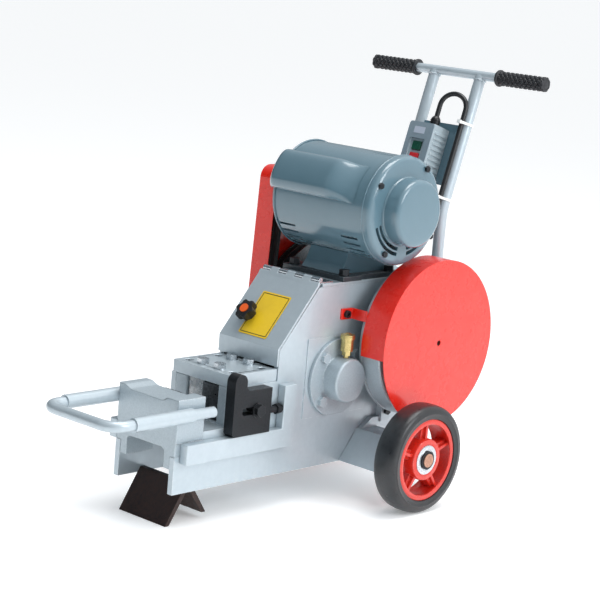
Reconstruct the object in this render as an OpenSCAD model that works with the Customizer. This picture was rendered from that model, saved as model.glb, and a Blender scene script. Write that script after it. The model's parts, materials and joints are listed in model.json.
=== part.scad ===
// Wheeled rebar cutter. X runs across the machine, Y from the jaw (minus) to the push handle, Z up.
// The origin is on the ground, under the middle of the machine. All sizes are in millimetres.

/* [Frame] */
// Width over the two side plates
frame_w = 148; // [146:1:150]
// Thickness of each side plate
plate_t = 11; // [10:0.5:12]
// Front end of the side plates
front_y = -304;
// Rear end of the side plates
rear_y = 320; // [312:2:330]
// Underside of the side plates
frame_z0 = 62;
// Top edge of the side plates
frame_z1 = 395;
// Thickness of the plates that close the body
shell_t = 6; // [4:0.5:8]

/* [Cutting head] */
// Front face of the ram guide, where the throat begins
guide_y0 = -182;
// Rear face of the ram guide
guide_y1 = -66;
// Rear face of the front block, where the throat ends
block_y1 = -240;
// Top of the ram guide
guide_z1 = 234;
// Thickness of the clamping plate on top of the guide
top_plate_t = 22; // [18:1:24]
// Left side of the ram
ram_x0 = -34;
// Right side of the ram
ram_x1 = 44;
// Sliding clearance around the ram
ram_gap = 0.35; // [0.3:0.05:0.5]
// Rear end of the ram
ram_y1 = -64;
// Plane in which the two blades pass
shear_x = 5.7;
// Cutting face of the fixed blade
fixed_y1 = -232;

/* [Drive] */
// Throw of the eccentric on the crankshaft
throw_r = 26; // [20:1:26]
// Gear module
gear_m = 4;
// Teeth on the flywheel shaft
pinion_teeth = 24;
// Teeth on the crankshaft gear
gear_teeth = 70;
// Pitch radius of the motor pulley
motor_pulley_r = 36;
// Pitch radius of the flywheel shaft pulley
driven_pulley_r = 144;
// Outside radius of the flywheel
flywheel_r = 146; // [140:1:146]

/* [Motor] */
// Outside radius of the motor shell
motor_r = 98; // [94:1:99]
// Left end of the motor
motor_x0 = -114;
// Right end of the motor body, before the fan cover
motor_x1 = 136;
// Face of the fan cover
fan_cover_x1 = 171;

/* [Wheels and handles] */
// Outside radius of the tyre
tyre_r = 100;
// Outer face of each tyre, from the middle of the machine
wheel_x1 = 249;
// Width of each tyre
tyre_w = 50; // [44:1:52]
// Half the width of the push handle over its grips
handle_half_w = 210; // [200:2:230]
// Height of the push handle's cross bar
handle_z = 773; // [765:1:780]
// Front edge of the carrying handle
carry_y0 = -468;

/* [Hidden] */
$fn = 64;
half_w = frame_w / 2;
inner_w = half_w - plate_t;
crank_c = [84.5, 226];
gear_centres = gear_m * (pinion_teeth + gear_teeth) / 2;
gear_line = 20;
fly_c = crank_c + gear_centres * [cos(gear_line), sin(gear_line)];
motor_c = [167, 536];
axle_c = [161, tyre_r];
top_z = frame_z1 + shell_t;
fold_y = -66;
fold_z = 289;
lid_y1 = 24;
lid_lip_z = 260;
lid_t = 4;
lid_slope = atan2(frame_z1 - fold_z, lid_y1 - fold_y);
hinge_c = [30, 407];
rail_t = 17.5;
rail_z0 = 116;
rail_z1 = 151;
upright_y = [-62, -33];
upright_z1 = 229;
joint_gap = 0.3;

head_bolts = [[-20, -160], [22, -160], [-20, -88], [22, -88]];
corner_screws = [[-55, -160], [54, -160], [-55, -88], [54, -88]];
cap_bolts = [for (a = [45 : 90 : 315]) 57 * [cos(a), sin(a)]];
housing_bolts = [for (a = [0 : 60 : 300]) 50 * [cos(a), sin(a)]];
blade_screws_x = [-24, -5];
bell_bolts = [for (a = [57 : 90 : 327]) 90 * [cos(a), sin(a)]];
slot_bolt_c = [-134, 195];
adjuster_z = 187;
stop_x1 = 96;
slot_y = [-164, -123];
cover_screw_c = [98, 342];
base_bolts = [[-62, 100], [62, 100], [-62, 224], [62, 224]];
tube_x = 56;
tube_r = 11;
tube_bend = [372, 515];
tube_top = [452, handle_z];
lean = atan2(tube_top[0] - tube_bend[0], tube_top[1] - tube_bend[1]);
switch_z = [58, 154];
button_z = [85, 108];
plate_top = 168;
cable_r = 4.8;
cable_off = 16.2;
cable_turn_r = 45;
cable_turn_z = 12;
cable_turn_c = [tube_bend[0] - (cable_off + cable_turn_r) * cos(lean) + cable_turn_z * sin(lean),
    tube_bend[1] + (cable_off + cable_turn_r) * sin(lean) + cable_turn_z * cos(lean)];
cable_gland_z = cable_turn_c[1] - cable_turn_r;
cable_end_y = 262;
lug_bolt_c = [224, 148];
carry_x = 86.5;
carry_z = 202;
carry_r = 9.5;
sleeve_r = 12.4;
guard_x = [-165, -122];
guard_t = 2;
cover_r = 155.4;
cover_x1 = 168;
cover_band_x0 = 113;

// ---- Helpers ------------------------------------------------------------------------------

// Box between two opposite corners
module block(lo, hi) {
    translate(lo)
        cube(hi - lo);
}

// Extrudes an outline drawn in (Y, Z) along X
module along_x(x0, x1) {
    translate([x0, 0, 0])
        rotate([90, 0, 90])
            linear_extrude(x1 - x0)
                children();
}

// Extrudes an outline drawn in (X, Z) along Y
module along_y(y0, y1) {
    translate([0, y1, 0])
        rotate([90, 0, 0])
            linear_extrude(y1 - y0)
                children();
}

// Round bar along X, centred on c = [y, z]
module rod_x(x0, x1, r, c) {
    translate([x0, c[0], c[1]])
        rotate([0, 90, 0])
            cylinder(h = x1 - x0, r = r);
}

// Ring along X, centred on c = [y, z]
module ring_x(x0, x1, ro, ri, c) {
    difference() {
        rod_x(x0, x1, ro, c);
        rod_x(x0 - 1, x1 + 1, ri, c);
    }
}

// Hexagonal bar along X, centred on c = [y, z]
module hex_x(x0, x1, af, c) {
    translate([x0, c[0], c[1]])
        rotate([0, 90, 0])
            cylinder(h = x1 - x0, d = af / cos(30), $fn = 6);
}

// Turned part: profile in (radius, x), revolved about the X axis through c = [y, z]
module turned_x(profile, c) {
    translate([0, c[0], c[1]])
        rotate([0, 90, 0])
            rotate_extrude($fn = 96)
                polygon(profile);
}

// Outer common tangent loop of two circles, as a list of points
function tangent_loop(c1, r1, c2, r2, step = 6) =
    let (
        d = c2 - c1,
        base = atan2(d[1], d[0]),
        spread = acos((r1 - r2) / norm(d)),
        n1 = ceil((360 - 2 * spread) / step),
        n2 = ceil(2 * spread / step)
    )
    concat(
        [for (i = [0 : n1]) let (a = base + spread + i * (360 - 2 * spread) / n1) c1 + r1 * [cos(a), sin(a)]],
        [for (i = [0 : n2]) let (a = base - spread + i * 2 * spread / n2) c2 + r2 * [cos(a), sin(a)]]
    );

// Involute of the base-circle pressure angle a, in degrees
function involute(a) = tan(a) * 180 / PI - a;

// Half the angle a tooth covers at radius r, in degrees
function half_tooth(teeth, r, play) =
    let (pitch = gear_m * teeth / 2, base = pitch * cos(20))
    90 / teeth - play * 90 / (PI * pitch) + involute(20) - involute(acos(min(1, base / max(r, base))));

// Outline of a spur gear with a tooth centred on angle a0
function gear_outline(teeth, a0, play = 0.5) =
    let (
        pitch = gear_m * teeth / 2,
        base = pitch * cos(20),
        root = pitch - 1.25 * gear_m,
        tip = pitch + gear_m,
        low = max(root, base),
        radii = [low, low + 0.3 * (tip - low), low + 0.65 * (tip - low), tip]
    )
    [for (i = [0 : teeth - 1]) let (mid = a0 + i * 360 / teeth) each concat(
        [let (a = mid - half_tooth(teeth, low, play)) root * [cos(a), sin(a)]],
        [for (r = radii) let (a = mid - half_tooth(teeth, r, play)) r * [cos(a), sin(a)]],
        [for (k = [3 : -1 : 0]) let (a = mid + half_tooth(teeth, radii[k], play))
            radii[k] * [cos(a), sin(a)]],
        [let (a = mid + half_tooth(teeth, low, play)) root * [cos(a), sin(a)]]
    )];

// ---- Frame --------------------------------------------------------------------------------

// Outline of a side plate in (Y, Z)
module side_outline() {
    polygon([[front_y, frame_z0], [rear_y, frame_z0], [rear_y, frame_z1], [lid_y1, frame_z1],
        [fold_y, fold_z], [fold_y, guide_z1], [guide_y0, guide_z1], [guide_y0, 165],
        [block_y1, 165], [block_y1, 127], [front_y, 127]]);
}

module side_plate(side) {
    x0 = side > 0 ? inner_w : -half_w;
    difference() {
        union() {
            along_x(x0, x0 + plate_t)
                side_outline();
            if (side > 0)
                block([half_w, 5, 156], [half_w + 2, 172, 303]);
        }
        rod_x(x0 - 1, x0 + plate_t + 3, 30, crank_c);
        rod_x(x0 - 1, x0 + plate_t + 3, 32, fly_c);
        rod_x(x0 - 1, x0 + plate_t + 1, 12.5, axle_c);
        rod_x(x0 - 1, x0 + plate_t + 1, 4.2, lug_bolt_c);
        for (b = cap_bolts)
            rod_x(x0 - 1, x0 + plate_t + 3, 5.2, crank_c + b);
        for (b = housing_bolts)
            rod_x(x0 - 1, x0 + plate_t + 3, 4.2, fly_c + b);
        if (side > 0) {
            rod_x(x0 - 1, x0 + plate_t + 1, 6.2, slot_bolt_c);
            rod_x(x0 - 1, x0 + plate_t + 1, 4.2, cover_screw_c);
        }
    }
}

module side_plate_right() {
    color("silver")
        side_plate(1);
}

module side_plate_left() {
    color("silver")
        side_plate(-1);
}

// Floor, rear wall and roof that close the gear case between the side plates
module body_shell() {
    color("silver") {
        block([-inner_w, -56, frame_z0], [inner_w, rear_y - shell_t, frame_z0 + shell_t]);
        block([-inner_w, rear_y - shell_t, frame_z0], [inner_w, rear_y, frame_z1]);
        difference() {
            block([-half_w, lid_y1 + 8, frame_z1], [half_w, rear_y, top_z]);
            for (b = base_bolts)
                translate([b[0], b[1], frame_z1 - 1])
                    cylinder(h = shell_t + 2, r = 5.2);
        }
    }
}

// Cast block in front of the throat, an upside-down channel
module front_block() {
    color("silver")
        difference() {
            along_y(front_y, block_y1)
                polygon([[-half_w, 127], [-half_w, 161], [-75, 161], [-75, 227], [-61, 227], [-57, 226],
                    [-47, 222], [-43, 221], [34, 220], [38, 221], [45, 226], [49, 227], [75, 227],
                    [75, rail_z1], [half_w, rail_z1], [half_w, 127], [inner_w, 127], [inner_w, 104],
                    [47, 104], [47, 134], [41, 139], [-41, 139], [-47, 134], [-47, 104], [-inner_w, 104],
                    [-inner_w, 127]]);
            block([ram_x0, fixed_y1 - 26, 172], [shear_x - 0.5, block_y1 + 1, 218]);
            for (x = blade_screws_x)
                screw_hole_y(x, fixed_y1 - 44, fixed_y1 - 25);
        }
}

module fixed_blade() {
    color("dimgray") {
        difference() {
            block([ram_x0, fixed_y1 - 26, 172], [shear_x - 0.5, fixed_y1, 218]);
            for (x = blade_screws_x) {
                screw_hole_y(x, fixed_y1 - 27, fixed_y1 + 1);
                translate([x, fixed_y1 - 9, 195])
                    rotate([-90, 0, 0])
                        cylinder(h = 10, r = 7);
            }
        }
        for (x = blade_screws_x)
            translate([x, fixed_y1, 195])
                rotate([90, 0, 0]) {
                    translate([0, 0, 1])
                        cylinder(h = 7.5, r = 6.6);
                    translate([0, 0, 8])
                        cylinder(h = 34, r = 4);
                }
    }
}

// Clearance hole along Y at the height of the fixed blade's screws
module screw_hole_y(x, y0, y1) {
    translate([x, y0, 195])
        rotate([-90, 0, 0])
            cylinder(h = y1 - y0, r = 4.2);
}

// Casting that guides the ram and carries the floor of the throat
module ram_guide() {
    color("silver")
        difference() {
            union() {
                block([-inner_w, block_y1, 128], [inner_w, guide_y1 + 4, 165]);
                block([-inner_w, guide_y0, 165], [inner_w, guide_y1 + 4, guide_z1]);
            }
            block([ram_x0 - ram_gap, guide_y0 - 1, 168], [ram_x1 + ram_gap, guide_y1 + 5, guide_z1 + 1]);
            for (b = corner_screws)
                translate([b[0], b[1], guide_z1 - 20])
                    cylinder(h = 21, r = 4.2);
        }
}

module top_plate() {
    color("silver")
        difference() {
            block([-72, guide_y0, guide_z1], [72, guide_y1, guide_z1 + top_plate_t]);
            for (b = corner_screws)
                translate([b[0], b[1], guide_z1 - 1]) {
                    cylinder(h = top_plate_t + 2, r = 4.2);
                    translate([0, 0, top_plate_t - 8])
                        cylinder(h = 10, r = 8);
                }
            for (b = head_bolts)
                translate([b[0], b[1], guide_z1 + 4])
                    cylinder(h = top_plate_t, r = 6.2);
        }
}

// Hexagon bolts that load the liner above the ram
module top_plate_bolts() {
    color("gainsboro")
        for (b = head_bolts)
            translate([b[0], b[1], guide_z1 + 5]) {
                cylinder(h = top_plate_t - 5, r = 6);
                translate([0, 0, top_plate_t - 5])
                    cylinder(h = 2, r = 10.5);
                translate([0, 0, top_plate_t - 3])
                    cylinder(h = 8, d = 19 / cos(30), $fn = 6);
            }
}

// Socket screws sunk in the corners
module top_plate_screws() {
    color("gray")
        for (b = corner_screws)
            translate([b[0], b[1], guide_z1 - 18])
                difference() {
                    union() {
                        cylinder(h = 32, r = 4);
                        translate([0, 0, 32])
                            cylinder(h = 7, r = 7);
                    }
                    translate([0, 0, 35])
                        cylinder(h = 5, d = 8, $fn = 6);
                }
}

// Rail with the upright that backs the stop plate
module rail_right() {
    color("silver")
        difference() {
            along_x(half_w, half_w + rail_t)
                polygon([[-292, rail_z0], [upright_y[1], rail_z0], [upright_y[1], upright_z1],
                    [upright_y[0], upright_z1], [upright_y[0], rail_z1], [-292, rail_z1]]);
            translate([half_w + 9, upright_y[0] - 1, adjuster_z])
                rotate([-90, 0, 0])
                    cylinder(h = upright_y[1] - upright_y[0] + 2, r = 6.3);
        }
}

module rail_left() {
    color("silver")
        block([-half_w - rail_t, front_y, 127], [-half_w, upright_y[1], 161]);
}

// Folded foot of raw steel
module front_foot() {
    color("dimgray")
        along_x(-inner_w, 56)
            polygon([[-297, 0], [-288, 0], [-248, 62], [-211, 12], [-201.3, 12], [-243, 72], [-253, 72]]);
}

// Gusset plates that stiffen the stub axles
module axle_bracket() {
    color("silver")
        difference() {
            for (s = [0, 1])
                mirror([s, 0, 0])
                    union() {
                        along_x(half_w, 176)
                            polygon([[116, 63], [124, 63], [164, 114], [206, 114], [206, 120], [160, 120]]);
                        along_x(half_w, half_w + 10)
                            polygon([[164, 120], [212, 120], [212, 138], [190, 138]]);
                        block([half_w, 211, 128], [half_w + 14, 237, 164]);
                    }
            rod_x(-180, 180, 12.5, axle_c);
            rod_x(-100, 100, 4.2, lug_bolt_c);
        }
}

module stub_axles() {
    color("rosybrown")
        for (s = [0, 1])
            mirror([s, 0, 0])
                rod_x(inner_w - 4, wheel_x1 + 1, 12.5, axle_c);
}

module axle_clips() {
    color("dimgray")
        for (s = [0, 1])
            mirror([s, 0, 0]) {
                ring_x(wheel_x1 - 2.6, wheel_x1 - 0.6, 17, 12.5, axle_c);
                ring_x(wheel_x1 - tyre_w - 5, wheel_x1 - tyre_w - 1, 20, 12.5, axle_c);
            }
}

// ---- Crankshaft bearings and oiler ----------------------------------------------------------

module bearing_caps() {
    color("silver") {
        difference() {
            union() {
                intersection() {
                    rod_x(half_w + 2, half_w + 9, 72, crank_c);
                    block([half_w, 10, 158], [half_w + 20, 175, 300]);
                }
                turned_x([[0, half_w + 8], [40.5, half_w + 8], [40.5, 111], [39.4, 114], [37, 115], [0, 115]],
                    crank_c);
            }
            rod_x(0, half_w + 20, 20.05, crank_c);
            for (b = cap_bolts)
                rod_x(half_w, half_w + 12, 5.2, crank_c + b);
            translate([98, crank_c[0], 255])
                cylinder(h = 30, r = 5.2);
        }
        difference() {
            rod_x(-half_w - 22, -half_w, 72, crank_c);
            rod_x(-half_w - 16, 0, 20.05, crank_c);
            for (b = cap_bolts)
                rod_x(-half_w - 23, -half_w + 1, 5.2, crank_c + b);
        }
        ring_x(inner_w - 6, half_w + 2, 30, 20.05, crank_c);
        ring_x(-half_w, -inner_w + 6, 30, 20.05, crank_c);
    }
}

module bearing_cap_bolts() {
    color("gainsboro") {
        for (b = cap_bolts) {
            rod_x(inner_w + 1, half_w + 9, 5, crank_c + b);
            hex_x(half_w + 9, half_w + 16, 17, crank_c + b);
            rod_x(-half_w - 22, -inner_w - 1, 5, crank_c + b);
            hex_x(-half_w - 29, -half_w - 22, 17, crank_c + b);
        }
        for (s = [0, 1], b = housing_bolts)
            mirror([s, 0, 0]) {
                rod_x(inner_w + 1, half_w + 12, 4, fly_c + b);
                hex_x(half_w + 12, half_w + 17, 13, fly_c + b);
            }
    }
}

module oil_cup() {
    color("goldenrod")
        translate([98, crank_c[0], 0])
            difference() {
                union() {
                    translate([0, 0, 257])
                        cylinder(h = 16, r = 5.1);
                    translate([0, 0, 271])
                        cylinder(h = 8, d = 15 / cos(30), $fn = 6);
                    translate([0, 0, 279])
                        cylinder(h = 22, r = 11.5);
                    translate([0, 0, 301])
                        cylinder(h = 6, r = 13.5);
                }
                translate([0, 0, 283])
                    cylinder(h = 30, r = 9.5);
            }
}

module oil_cup_lid() {
    color("goldenrod")
        translate([98, crank_c[0], 307 + joint_gap]) {
            cylinder(h = 2, r = 13);
            translate([0, 0, 2])
                cylinder(h = 3, r1 = 9, r2 = 4);
        }
}

module shaft_housings() {
    color("silver")
        for (s = [0, 1])
            mirror([s, 0, 0])
                difference() {
                    union() {
                        rod_x(half_w, half_w + 12, 62, fly_c);
                        rod_x(half_w + 12, half_w + 18, 42, fly_c);
                        rod_x(inner_w - 4, half_w, 32, fly_c);
                    }
                    rod_x(0, half_w + 30, 20.05, fly_c);
                    for (b = housing_bolts)
                        rod_x(half_w - 1, half_w + 14, 4.2, fly_c + b);
                }
}

// ---- Inspection lid -------------------------------------------------------------------------

// Leaf on the roof with its knuckles and the pin
module lid_hinge() {
    color("gainsboro") {
        block([-70, hinge_c[0] + 5.2, top_z], [70, 62, top_z + 2.5]);
        for (x = [-70 : 40 : 50])
            difference() {
                union() {
                    rod_x(x, x + 19.7, 5, hinge_c);
                    block([x, hinge_c[0], top_z], [x + 19.7, hinge_c[0] + 6, top_z + 2.5]);
                }
                rod_x(x - 1, x + 21, 2.55, hinge_c);
            }
        rod_x(-71, 71, 2.5, hinge_c);
    }
}

// Folded lid with the moving hinge leaf; the origin of the slope is its upper edge
module inspection_lid() {
    color("gainsboro")
        difference() {
            union() {
                along_x(-half_w, half_w)
                    polygon([[lid_y1 - 6.5, frame_z1 + 1], [fold_y - 0.4 - lid_t, fold_z + 2.1],
                        [fold_y - 0.4 - lid_t, lid_lip_z], [fold_y - 0.4, lid_lip_z],
                        [fold_y - 0.4, fold_z + 0.6], [lid_y1 - 1.2, frame_z1 + 1],
                        [lid_y1 + 2, frame_z1 + 5.5], [lid_y1 - 0.5, frame_z1 + 9.5],
                        [lid_y1 - 4, frame_z1 + 7]]);
                for (x = [-50 : 40 : 30]) {
                    rod_x(x + 0.3, x + 19.7, 5, hinge_c);
                    along_x(x + 0.3, x + 19.7)
                        polygon([[lid_y1 - 1, frame_z1 + 3], [hinge_c[0], hinge_c[1] - 4.9], hinge_c,
                            [hinge_c[0] - 4.8, hinge_c[1] + 1], [lid_y1 - 4, frame_z1 + 7]]);
                }
            }
            rod_x(-72, 72, 2.6, hinge_c);
            on_lid(-32, 86)
                translate([0, 0, -10])
                    cylinder(h = 20, r = 5.3);
        }
}

// Places children on the lid's outer face, at x and a distance down from its upper edge
module on_lid(x, down) {
    translate([x, lid_y1 - 6.5, frame_z1 + 1])
        rotate([lid_slope, 0, 0])
            translate([0, -down, 0])
                children();
}

// Lobed knob on a threaded stud
module lid_knob() {
    color("black")
        on_lid(-32, 86) {
            translate([0, 0, -8])
                cylinder(h = 12, r = 5);
            translate([0, 0, joint_gap])
                cylinder(h = 8, r = 11);
            translate([0, 0, 8]) {
                cylinder(h = 14, r = 15);
                for (a = [0 : 60 : 300])
                    rotate(a)
                        translate([14, 0, 0])
                            cylinder(h = 14, r = 6);
                cylinder(h = 17, r = 9);
            }
        }
}

// ---- Motor ----------------------------------------------------------------------------------

module motor_base() {
    color("dimgray")
        difference() {
            union() {
                block([-76, 84, top_z], [76, 134, top_z + 9]);
                block([-70, 134, top_z], [70, 246, top_z + 9]);
            }
            for (b = base_bolts)
                translate([b[0], b[1], top_z - 1])
                    cylinder(h = 12, r = 5.2);
        }
}

module motor_bolts() {
    color("black") {
        bell_bolt_set();
        for (b = base_bolts)
            translate([b[0], b[1], frame_z1]) {
                cylinder(h = shell_t + 9, r = 5);
                translate([0, 0, shell_t + 9])
                    cylinder(h = 2, r = 10);
                translate([0, 0, shell_t + 11])
                    cylinder(h = 9, d = 17 / cos(30), $fn = 6);
            }
    }
}

// Hexagon bolts of the right end bell
module bell_bolt_set() {
    for (b = bell_bolts) {
        rod_x(motor_x1 - 16, motor_x1, 3, motor_c + b);
        hex_x(motor_x1, motor_x1 + 5, 10, motor_c + b);
    }
}

module motor_shell() {
    color("slategray")
        difference() {
            union() {
                rod_x(motor_x0 + 16, motor_x1 - 18, motor_r, motor_c);
                along_x(-44, 50)
                    polygon([[100, top_z + 9], [234, top_z + 9], [222, 424], [212, 448], [122, 448],
                        [112, 424]]);
                translate([tube_x, cable_end_y - 14, cable_gland_z])
                    rotate([-90, 0, 0])
                        cylinder(h = 28, r = 9);
            }
            translate([tube_x, cable_end_y - 2, cable_gland_z])
                rotate([-90, 0, 0])
                    cylinder(h = 17, r = cable_r + 0.2);
            rod_x(motor_x0, motor_x1, motor_r - 4, motor_c);
            for (x0 = [-94, 59], k = [0 : 3])
                translate([0, motor_c[0], motor_c[1]])
                    rotate([212.5 + 9.2 * k, 0, 0])
                        block([x0, 88, -2.5], [x0 + 41, 104, 2.5]);
        }
}

module motor_stator() {
    color("gray")
        ring_x(-70, 70, motor_r - 4, 56, motor_c);
}

module motor_end_bells() {
    color("slategray") {
        difference() {
            turned_x([[0, motor_x0], [80, motor_x0], [93, motor_x0 + 6], [99.5, motor_x0 + 16],
                [93.9, motor_x0 + 16], [88, motor_x0 + 10], [30, motor_x0 + 6], [30, motor_x0 + 24],
                [0, motor_x0 + 24]], motor_c);
            rod_x(-200, 0, 14.05, motor_c);
        }
        difference() {
            turned_x([[0, motor_x1], [92, motor_x1], [97, motor_x1 - 3], [99.5, motor_x1 - 8],
                [99.5, motor_x1 - 18], [93.9, motor_x1 - 18], [86, motor_x1 - 10], [30, motor_x1 - 7],
                [30, motor_x1 - 24], [0, motor_x1 - 24]], motor_c);
            rod_x(0, 200, 14.05, motor_c);
            for (a = [200, 280], r = [66, 76])
                translate([0, motor_c[0], motor_c[1]])
                    rotate([90, 0, 90])
                        rotate(a)
                            rotate_extrude(angle = 60)
                                translate([r, motor_x1 - 30])
                                    square([6, 31]);
            for (b = bell_bolts)
                rod_x(motor_x1 - 30, motor_x1 + 1, 3.2, motor_c + b);
        }
    }
}

module motor_fan_cover() {
    color("slategray")
        turned_x([[62, motor_x1], [62, fan_cover_x1 - 9], [61, fan_cover_x1 - 4.5],
            [58.2, fan_cover_x1 - 1.3], [54, fan_cover_x1], [0, fan_cover_x1], [0, fan_cover_x1 - 2],
            [53, fan_cover_x1 - 2], [57, fan_cover_x1 - 4], [59.5, fan_cover_x1 - 10],
            [59.5, motor_x1]], motor_c);
}

// Rounded hump on the shell that covers the capacitor, with a sloping end
module capacitor_cover() {
    color("slategray")
        translate([0, motor_c[0], motor_c[1]])
            rotate([61, 0, 0])
                difference() {
                    hull() {
                        for (y = [-16, 16])
                            rod_x(-108, 48, 20, [y, 102]);
                        block([-108, -38, 84], [94, 38, 92]);
                    }
                    rod_x(-110, 110, motor_r + 0.1, [0, 0]);
                    rod_x(-110, -97, motor_r + 1.7, [0, 0]);
                }
}

module motor_rotor() {
    color("gray") {
        rod_x(-160, 150, 14, motor_c);
        ring_x(-62, 62, 55, 14, motor_c);
        ring_x(142, 158, 50, 14, motor_c);
        rod_x(150, 158, 14, motor_c);
    }
}

// ---- Belt drive -----------------------------------------------------------------------------

// Two-groove pulley revolved from its rim profile
module pulley(r, bore, web_r, c) {
    difference() {
        turned_x([[0, -158], [r + 5, -158], [r + 5, -155.5], [r - 9, -153.5], [r - 9, -145.5],
            [r + 5, -143.5], [r + 5, -141.5], [r - 9, -139.5], [r - 9, -131.5], [r + 5, -129.5],
            [r + 5, -126], [0, -126]], c);
        rod_x(-170, -100, bore, c);
        if (web_r > bore + 14) {
            ring_x(-160, -148, web_r, bore + 14, c);
            ring_x(-136, -120, web_r, bore + 14, c);
        }
    }
}

module motor_pulley() {
    color("gray")
        pulley(motor_pulley_r, 14, 0, motor_c);
}

module driven_pulley() {
    color("gray")
        pulley(driven_pulley_r, 20, 122, fly_c);
}

module drive_belt() {
    color("black")
        for (x = [-153.2, -139.2])
            along_x(x, x + 7.4)
                difference() {
                    polygon(tangent_loop(motor_c, motor_pulley_r + 3, fly_c, driven_pulley_r + 3));
                    polygon(tangent_loop(motor_c, motor_pulley_r - 5, fly_c, driven_pulley_r - 5));
                }
}

// Outline of the guard in (Y, Z), a distance inside its outer face
module guard_outline(inset) {
    hull() {
        translate(fly_c)
            circle(r = 174 - inset, $fn = 96);
        for (dy = [-46, 46])
            translate([motor_c[0] + dy, motor_c[1] + 21])
                circle(r = 24 - inset);
    }
}

// Sheet guard, closed on the outside and open towards the machine
module belt_guard() {
    color("crimson") {
        difference() {
            along_x(guard_x[0], guard_x[1])
                guard_outline(0);
            along_x(guard_x[0] + guard_t, guard_x[1] + 1)
                guard_outline(guard_t);
        }
        block([-140, fly_c[0] - 173, fly_c[1] - 10], [-half_w - 22, fly_c[0] - 166, fly_c[1] + 10]);
        block([-140, fly_c[0] - 10, fly_c[1] - 173], [-half_w, fly_c[0] + 10, fly_c[1] - 166]);
    }
}

module flywheel_shaft() {
    color("gray") {
        rod_x(-159, 152, 20, fly_c);
        difference() {
            along_x(-56, -14)
                translate(fly_c)
                    polygon(gear_outline(pinion_teeth, gear_line + 180));
            rod_x(-60, 0, 20, fly_c);
        }
    }
}

module flywheel() {
    color("lightgray")
        turned_x([[20, 95], [38, 95], [38, 112], [124, 112], [124, 99], [flywheel_r - 3, 99],
            [flywheel_r, 101], [flywheel_r, 106], [flywheel_r - 2, 107], [flywheel_r - 2, 108.5],
            [flywheel_r, 109.5], [flywheel_r, 147], [flywheel_r - 2, 149], [124, 149], [124, 130],
            [38, 130], [38, 150], [20, 150]], fly_c);
}

// Disc and rim band over the flywheel, with two straps to the frame
module flywheel_cover() {
    color("crimson") {
        difference() {
            rod_x(cover_x1 - 2, cover_x1, cover_r, fly_c);
            rod_x(cover_x1 - 3, cover_x1 + 1, 5, fly_c);
        }
        difference() {
            ring_x(cover_band_x0, cover_x1 - 2, cover_r, cover_r - 2, fly_c);
            along_x(cover_band_x0 - 1, cover_x1 - 2)
                translate(fly_c)
                    polygon([[0, 0], [-200, -26], [-200, -200], [200, -200], [200, -60]]);
        }
        difference() {
            union() {
                block([half_w, 86, 332], [half_w + 2, 112, 352]);
                block([half_w + 2, 86, 332], [half_w + 4, 116, 352]);
                block([half_w + 2, 113, 332], [cover_band_x0 + 0.5, 115, 352]);
            }
            rod_x(half_w - 1, half_w + 6, 4.2, cover_screw_c);
            rod_x(cover_band_x0, cover_x1, cover_r - 1, fly_c);
        }
    }
}

// Socket screw of the flywheel cover's strap and the hexagon bolts of the two lugs
module side_screws() {
    color("black") {
        for (s = [0, 1])
            mirror([s, 0, 0]) {
                rod_x(inner_w + 1, half_w + 14, 4, lug_bolt_c);
                hex_x(half_w + 14, half_w + 20, 13, lug_bolt_c);
            }
        rod_x(inner_w + 1, half_w + 4, 4, cover_screw_c);
        difference() {
            rod_x(half_w + 4, half_w + 10, 7, cover_screw_c);
            hex_x(half_w + 6, half_w + 11, 6, cover_screw_c);
        }
    }
}

// ---- Crank drive ----------------------------------------------------------------------------

module crankshaft() {
    color("gray") {
        rod_x(-88, 92, 20, crank_c);
        rod_x(-8, 22, 48, crank_c + [throw_r, 0]);
    }
}

module main_gear() {
    color("gray")
        difference() {
            along_x(-54, -16)
                translate(crank_c)
                    polygon(gear_outline(gear_teeth, gear_line + 180 / gear_teeth));
            rod_x(-60, -10, 20, crank_c);
            ring_x(-55, -44, 118, 40, crank_c);
            ring_x(-26, -15, 118, 40, crank_c);
        }
}

// Rod with its big end on the eccentric and a pusher head behind the ram
module connecting_rod() {
    big = crank_c + [throw_r, 0];
    head_y = ram_y1 + 2 * throw_r + 0.5;
    color("silver")
        difference() {
            union() {
                rod_x(-6, 20, 62, big);
                along_x(-4, 18)
                    polygon([[big[0] - 50, big[1] + 24], [head_y + 8, 218], [head_y + 8, 188],
                        [big[0] - 50, big[1] - 36]]);
                block([-10, head_y, 184], [26, head_y + 12, 222]);
            }
            rod_x(-10, 24, 48.05, big);
        }
}

module ram() {
    color("gray") {
        difference() {
            block([ram_x0, guide_y0 + 24, 168 + ram_gap], [ram_x1, ram_y1, guide_z1 - ram_gap]);
            translate([25, guide_y0 + 8, 200])
                rotate([-90, 0, 0])
                    cylinder(h = 36, r = 5.2);
        }
        block([ram_x0, guide_y0 + 4, 168 + ram_gap], [shear_x, guide_y0 + 24, guide_z1 - ram_gap]);
    }
}

module moving_blade() {
    color("dimgray") {
        difference() {
            along_x(shear_x, ram_x1)
                polygon([[guide_y0, 178], [guide_y0 + 6, 169], [guide_y0 + 24, 169], [guide_y0 + 24, 232],
                    [guide_y0, 232]]);
            translate([25, guide_y0 - 1, 200])
                rotate([-90, 0, 0]) {
                    cylinder(h = 26, r = 5.2);
                    cylinder(h = 9, r = 8.5);
                }
        }
        translate([25, guide_y0 + 1, 200])
            rotate([-90, 0, 0]) {
                cylinder(h = 7, r = 8);
                cylinder(h = 40, r = 5);
            }
    }
}

// ---- Adjustable stop ------------------------------------------------------------------------

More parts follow.
